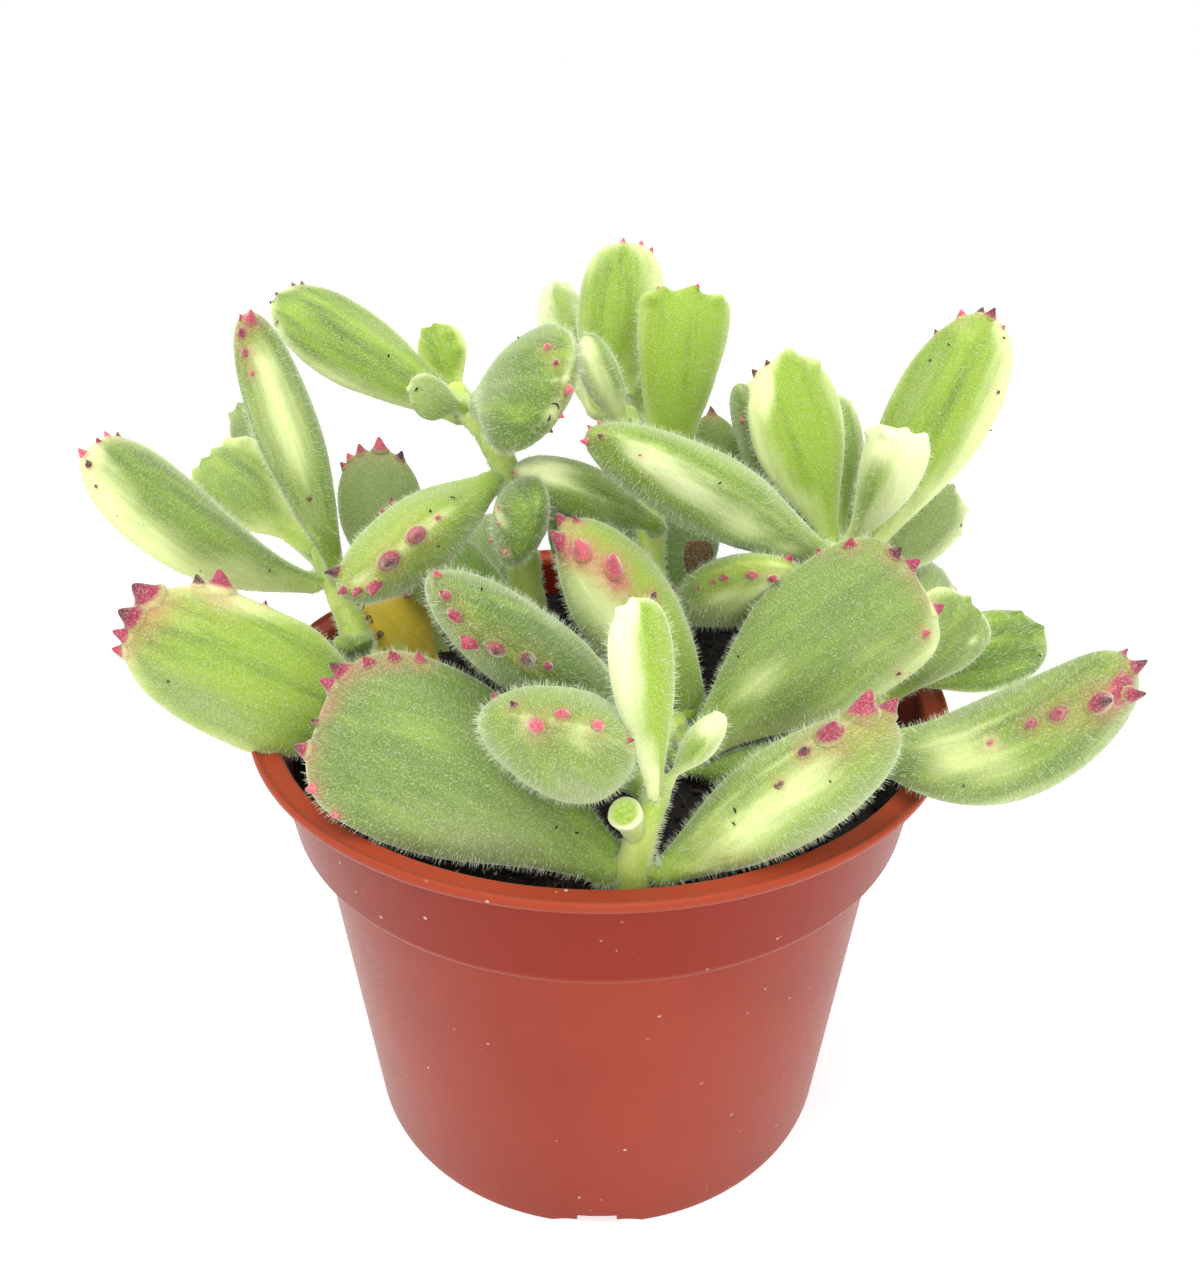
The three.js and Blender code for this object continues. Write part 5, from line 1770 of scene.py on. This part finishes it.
def rounded(corners: list[Point], count: int) -> Array:
    """A section with its corners rounded.

    Args:
        corners: Radius, height and how far back from the corner its rounding starts.
        count: How many points a rounding gets.

    Returns:
        Points as radius and height.
    """
    line: list[Array] = []
    t = np.linspace(0, 1, count)[:, None]
    for i, (x, y, back) in enumerate(corners):
        here = np.array([x, y])
        if back == 0.0:
            line.append(here[None])
            continue
        before, after = np.array(corners[i - 1][:2]), np.array(corners[i + 1][:2])
        start = here + unit(before - here) * min(back, 0.45 * np.linalg.norm(before - here))
        end = here + unit(after - here) * min(back, 0.45 * np.linalg.norm(after - here))
        line.append(start * (1 - t) ** 2 + here * 2 * t * (1 - t) + end * t**2)
    return np.concatenate(line)


def sharpen(piece: bpy.types.Object, angle: float) -> None:
    """Shades a piece smooth but for edges that turn by more than an angle.

    Args:
        piece: The piece.
        angle: The angle in degrees.
    """
    piece.data.shade_smooth()
    piece.data.set_sharp_from_angle(angle=math.radians(angle))


@dataclass(frozen=True)
class Soil:
    """The soil in the pot: a lumpy top over a plain body, with fibres, crumbs and grains."""

    edge_height: float = 54.2
    mound: float = 1.4
    edge_radius: float = 38.0
    shoulder_radius: float = 35.0
    shoulder_height: float = 46.0
    foot_radius: float = 29.5
    bottom: float = 4.5
    rings: int = 96
    sides: int = 250
    grains: tuple[tuple[float, float], ...] = ((-12.0, -30.9), (-14.2, -30.4), (-9.1, -31.7),
                                               (-21.4, -27.2), (16.2, -31.8), (2.6, -27.4))
    clump: Point = (-3.2, -31.6, 2.8)

    def top(self, x: Array, y: Array) -> Array:
        """The height of the top: a low mound with clods from noise.

        Args:
            x: Places across.
            y: Places along.

        Returns:
            Heights.
        """
        share = np.hypot(x, y) / self.edge_radius
        rise = self.mound * (1 - share**2)
        flat = np.stack([x, y], -1)
        clods = waves(flat * 0.11, 5, 0.62, 5) + 0.6 * waves(flat * 0.33, 9, 0.7, 5)
        lumps = np.abs(waves(flat * 0.2, 21, 0.6, 4))
        return self.edge_height + rise + 0.75 * clods - 0.5 * lumps

    def body(self) -> Shell:
        """The soil's top, sides and underside in one closed skin.

        Returns:
            The skin.
        """
        share = np.linspace(0, 1, self.rings + 1)[1:]
        turn = 2 * np.pi * np.arange(self.sides) / self.sides
        radius = self.edge_radius * share[::-1][:, None] * np.ones(self.sides)
        x, y = radius * np.cos(turn), radius * np.sin(turn)
        upper = np.stack([x, y, self.top(x, y)], -1)
        slope = np.linspace(0, 1, 8)[:-1]
        side_radius = self.foot_radius + (self.shoulder_radius - self.foot_radius) * slope
        side_height = self.bottom + (self.shoulder_height - self.bottom) * slope
        lower = np.stack([side_radius[:, None] * np.cos(turn), side_radius[:, None] * np.sin(turn),
                          side_height[:, None] * np.ones(self.sides)], -1)
        rings = np.concatenate([lower, upper])
        middle = float(self.top(np.zeros(1), np.zeros(1))[0])
        points, quads, tris = wrapped(rings, np.array([0.0, 0.0, self.bottom]),
                                      np.array([0.0, 0.0, middle]))
        return Shell(points, quads, tris)

    def scatter(self, count: int, rng: np.random.Generator) -> Array:
        """Places on the top, evenly drawn.

        Args:
            count: How many.
            rng: The random draw.

        Returns:
            The points.
        """
        radius = (self.edge_radius - 1.2) * np.sqrt(rng.uniform(0, 1, count))
        turn = rng.uniform(0, 2 * np.pi, count)
        x, y = radius * np.cos(turn), radius * np.sin(turn)
        return np.stack([x, y, self.top(x, y)], -1)

    def crumbs(self, count: int, low: float, high: float, seed: int, mark: str | None,
               places: tuple[tuple[float, float], ...] = ()) -> Shell:
        """Small uneven lumps: rings of points on a ball, each pushed in or out.

        Args:
            count: How many.
            low: The smallest radius.
            high: The largest radius.
            seed: Which draw.
            mark: The mark that says what they are.
            places: The x and y of the first ones, where they don't lie at random.

        Returns:
            The lumps.
        """
        rng = np.random.default_rng(seed)
        polar = np.pi * np.arange(1, 4) / 4
        turn = 2 * np.pi * np.arange(6) / 6
        ring = np.stack([np.sin(polar)[:, None] * np.cos(turn), np.sin(polar)[:, None] * np.sin(turn),
                         np.cos(polar)[:, None] * np.ones(6)], -1)
        unit_points, quads, tris = wrapped(ring[::-1], np.array([0, 0, -1.0]), np.array([0, 0, 1.0]))
        centre = self.scatter(count, rng)
        if places:
            x, y = np.array(places).T
            centre[:len(places)] = np.stack([x, y, self.top(x, y)], -1)
        size = rng.uniform(low, high, (count, 1, 1)) * rng.uniform(0.6, 1.3, (count, 1, 3))
        push = rng.uniform(0.72, 1.2, (count, len(unit_points), 1))
        points = centre[:, None] + unit_points[None] * size * push
        points[..., 2] += 0.25 * low
        points, quads, tris = many(points, quads, tris)
        marks = {mark: np.ones(len(points))} if mark else {}
        return Shell(points, quads, tris, marks)

    def fibres(self, count: int, seed: int, middle: Point | None = None, longest: float = 6.0,
               highest: float = 1.1) -> Shell:
        """Thin bent root and peat fibres that lie on the top.

        Args:
            count: How many.
            seed: Which draw.
            middle: The x, y and radius of the clump that they make, or nothing for all over.
            longest: The greatest length.
            highest: How far they arch up at most.

        Returns:
            The fibres.
        """
        rng = np.random.default_rng(seed)
        steps = 7
        start = self.scatter(count, rng)
        if middle is not None:
            start[:, :2] = np.array(middle[:2]) + rng.normal(0, middle[2] / 2, (count, 2))
        heading = rng.uniform(0, 2 * np.pi, count)
        curl = rng.normal(0, 0.9, count)
        reach = rng.uniform(0.25 * longest, longest, count)
        t = np.linspace(0, 1, steps)
        angle = heading[:, None] + curl[:, None] * t
        x = start[:, 0:1] + reach[:, None] * t * np.cos(angle)
        y = start[:, 1:2] + reach[:, None] * t * np.sin(angle)
        far = np.hypot(x, y).max(1) < self.edge_radius - 0.5
        x, y, angle = x[far], y[far], angle[far]
        hop = rng.uniform(0.1, highest, len(x))[:, None]
        z = self.top(x, y) + 0.1 + hop * np.sin(np.pi * t)
        line = np.stack([x, y, z], -1)
        thick = rng.uniform(0.04, 0.13, len(x))[:, None] * np.ones(steps)
        points, quads, tris = threads(line, UP + 0 * line, thick)
        return Shell(points, quads, tris, {"fibre": np.ones(len(points))})

    def build(self, finish: bpy.types.Material) -> None:
        """Makes the soil.

        Args:
            finish: Its finish.
        """
        shells = [
            self.body(),
            self.crumbs(900, 0.25, 0.75, 31, None),
            self.crumbs(60, 0.2, 0.45, 37, "tan", self.grains),
            self.fibres(420, 41),
            self.fibres(110, 43, self.clump, 2.6, 1.3),
        ]
        make_piece("soil_fill", shells, [finish], ("soil",))


@dataclass(frozen=True)
class Studio:
    """The camera of the photo, soft lamps, a white room and a pale floor."""

    camera_place: Point = (0.0, -129.08, 132.95)
    camera_way: Point = (0.0001, 0.8866, -0.4625)
    camera_roll: float = 0.287
    focal_px: float = 1186.49
    picture_height: int = 1281
    sensor: float = 36.0
    sky_back: float = 0.4
    sky_above: float = 0.95
    sky_side: float = 0.1
    sky_low: float = -0.8
    sky_high: float = 1.0
    sky_dim: float = 0.2
    sky_bright: float = 0.95
    key: float = 5.9
    fill: float = 3.5

    def camera(self) -> None:
        """Makes the photo's camera: it looks along its way, with the part's up upwards."""
        data = bpy.data.cameras.new("photo_camera")
        data.sensor_fit = "AUTO"
        data.sensor_width = self.sensor
        data.lens = self.focal_px / self.picture_height * self.sensor
        data.clip_start = 0.01
        data.clip_end = 20.0
        camera = bpy.data.objects.new("photo_camera", data)
        turn = Vector(self.camera_way).to_track_quat("-Z", "Y").to_matrix().to_4x4()
        roll = Matrix.Rotation(math.radians(self.camera_roll), 4, "Z")
        camera.matrix_world = Matrix.Translation(Vector(self.camera_place) * MM) @ turn @ roll
        bpy.context.scene.collection.objects.link(camera)
        bpy.context.scene.camera = camera

    def lamp(self, name: str, place: Point, size: float, power: float) -> None:
        """A square soft lamp that points at the plant.

        Args:
            name: Its name.
            place: Where it is, in metres.
            size: The length of its side, in metres.
            power: Its power in watts.
        """
        data = bpy.data.lights.new(name, "AREA")
        data.shape = "SQUARE"
        data.size = size
        data.energy = power
        lamp = bpy.data.objects.new(name, data)
        aim = Vector((0.0, 0.0, 0.06)) - Vector(place)
        lamp.matrix_world = (Matrix.Translation(Vector(place))
                             @ aim.to_track_quat("-Z", "Y").to_matrix().to_4x4())
        bpy.context.scene.collection.objects.link(lamp)

    def sky(self) -> None:
        """Makes the white room: bright above and behind the plant, dim behind the camera."""
        n = Nodes("white_room", world=True)
        bpy.context.scene.world = n.owner
        way = n.add("SeparateXYZ", {0: n.add("TexCoord").outputs["Generated"]}).outputs
        total = n.math("ADD", n.math("MULTIPLY", way["Y"], self.sky_back),
                       n.math("MULTIPLY", way["Z"], self.sky_above))
        total = n.math("ADD", total, n.math("MULTIPLY", way["X"], self.sky_side))
        lit = n.range(total, self.sky_low, self.sky_high, self.sky_dim, self.sky_bright)
        seen = n.add("LightPath").outputs["Is Camera Ray"]
        lit = n.math("MULTIPLY", lit, n.math("SUBTRACT", 1.0, seen))
        room = n.add("Background", {"Color": (1.0, 1.0, 1.0), "Strength": n.math("ADD", lit, seen)})
        n.feed(n.output.inputs["Surface"], room.outputs[0])

    def build(self) -> None:
        """Makes the studio."""
        self.camera()
        self.sky()
        self.lamp("key_lamp", (-0.2, -0.1, 0.95), 0.6, self.key)
        self.lamp("fill_lamp", (0.12, -0.6, 0.42), 0.5, self.fill)
        half = 4.0
        mesh = bpy.data.meshes.new("floor")
        mesh.from_pydata([(-half, -half, 0), (half, -half, 0), (half, half, 0), (-half, half, 0)],
                         [], [(0, 1, 2, 3)])
        mesh.materials.append(FloorFinish().material())
        floor = bpy.data.objects.new("floor", mesh)
        bpy.context.scene.collection.objects.link(floor)
        bpy.context.scene.view_settings.view_transform = "Standard"


def main() -> None:
    """Builds the studio, the pot, the soil and the plant."""
    logging.basicConfig(level=logging.INFO, format="%(message)s")
    Studio().build()
    Pot().build()
    peat = SoilFinish().material()
    Soil().build(peat)
    Plant().build(peat)


if __name__ == "__main__":
    main()
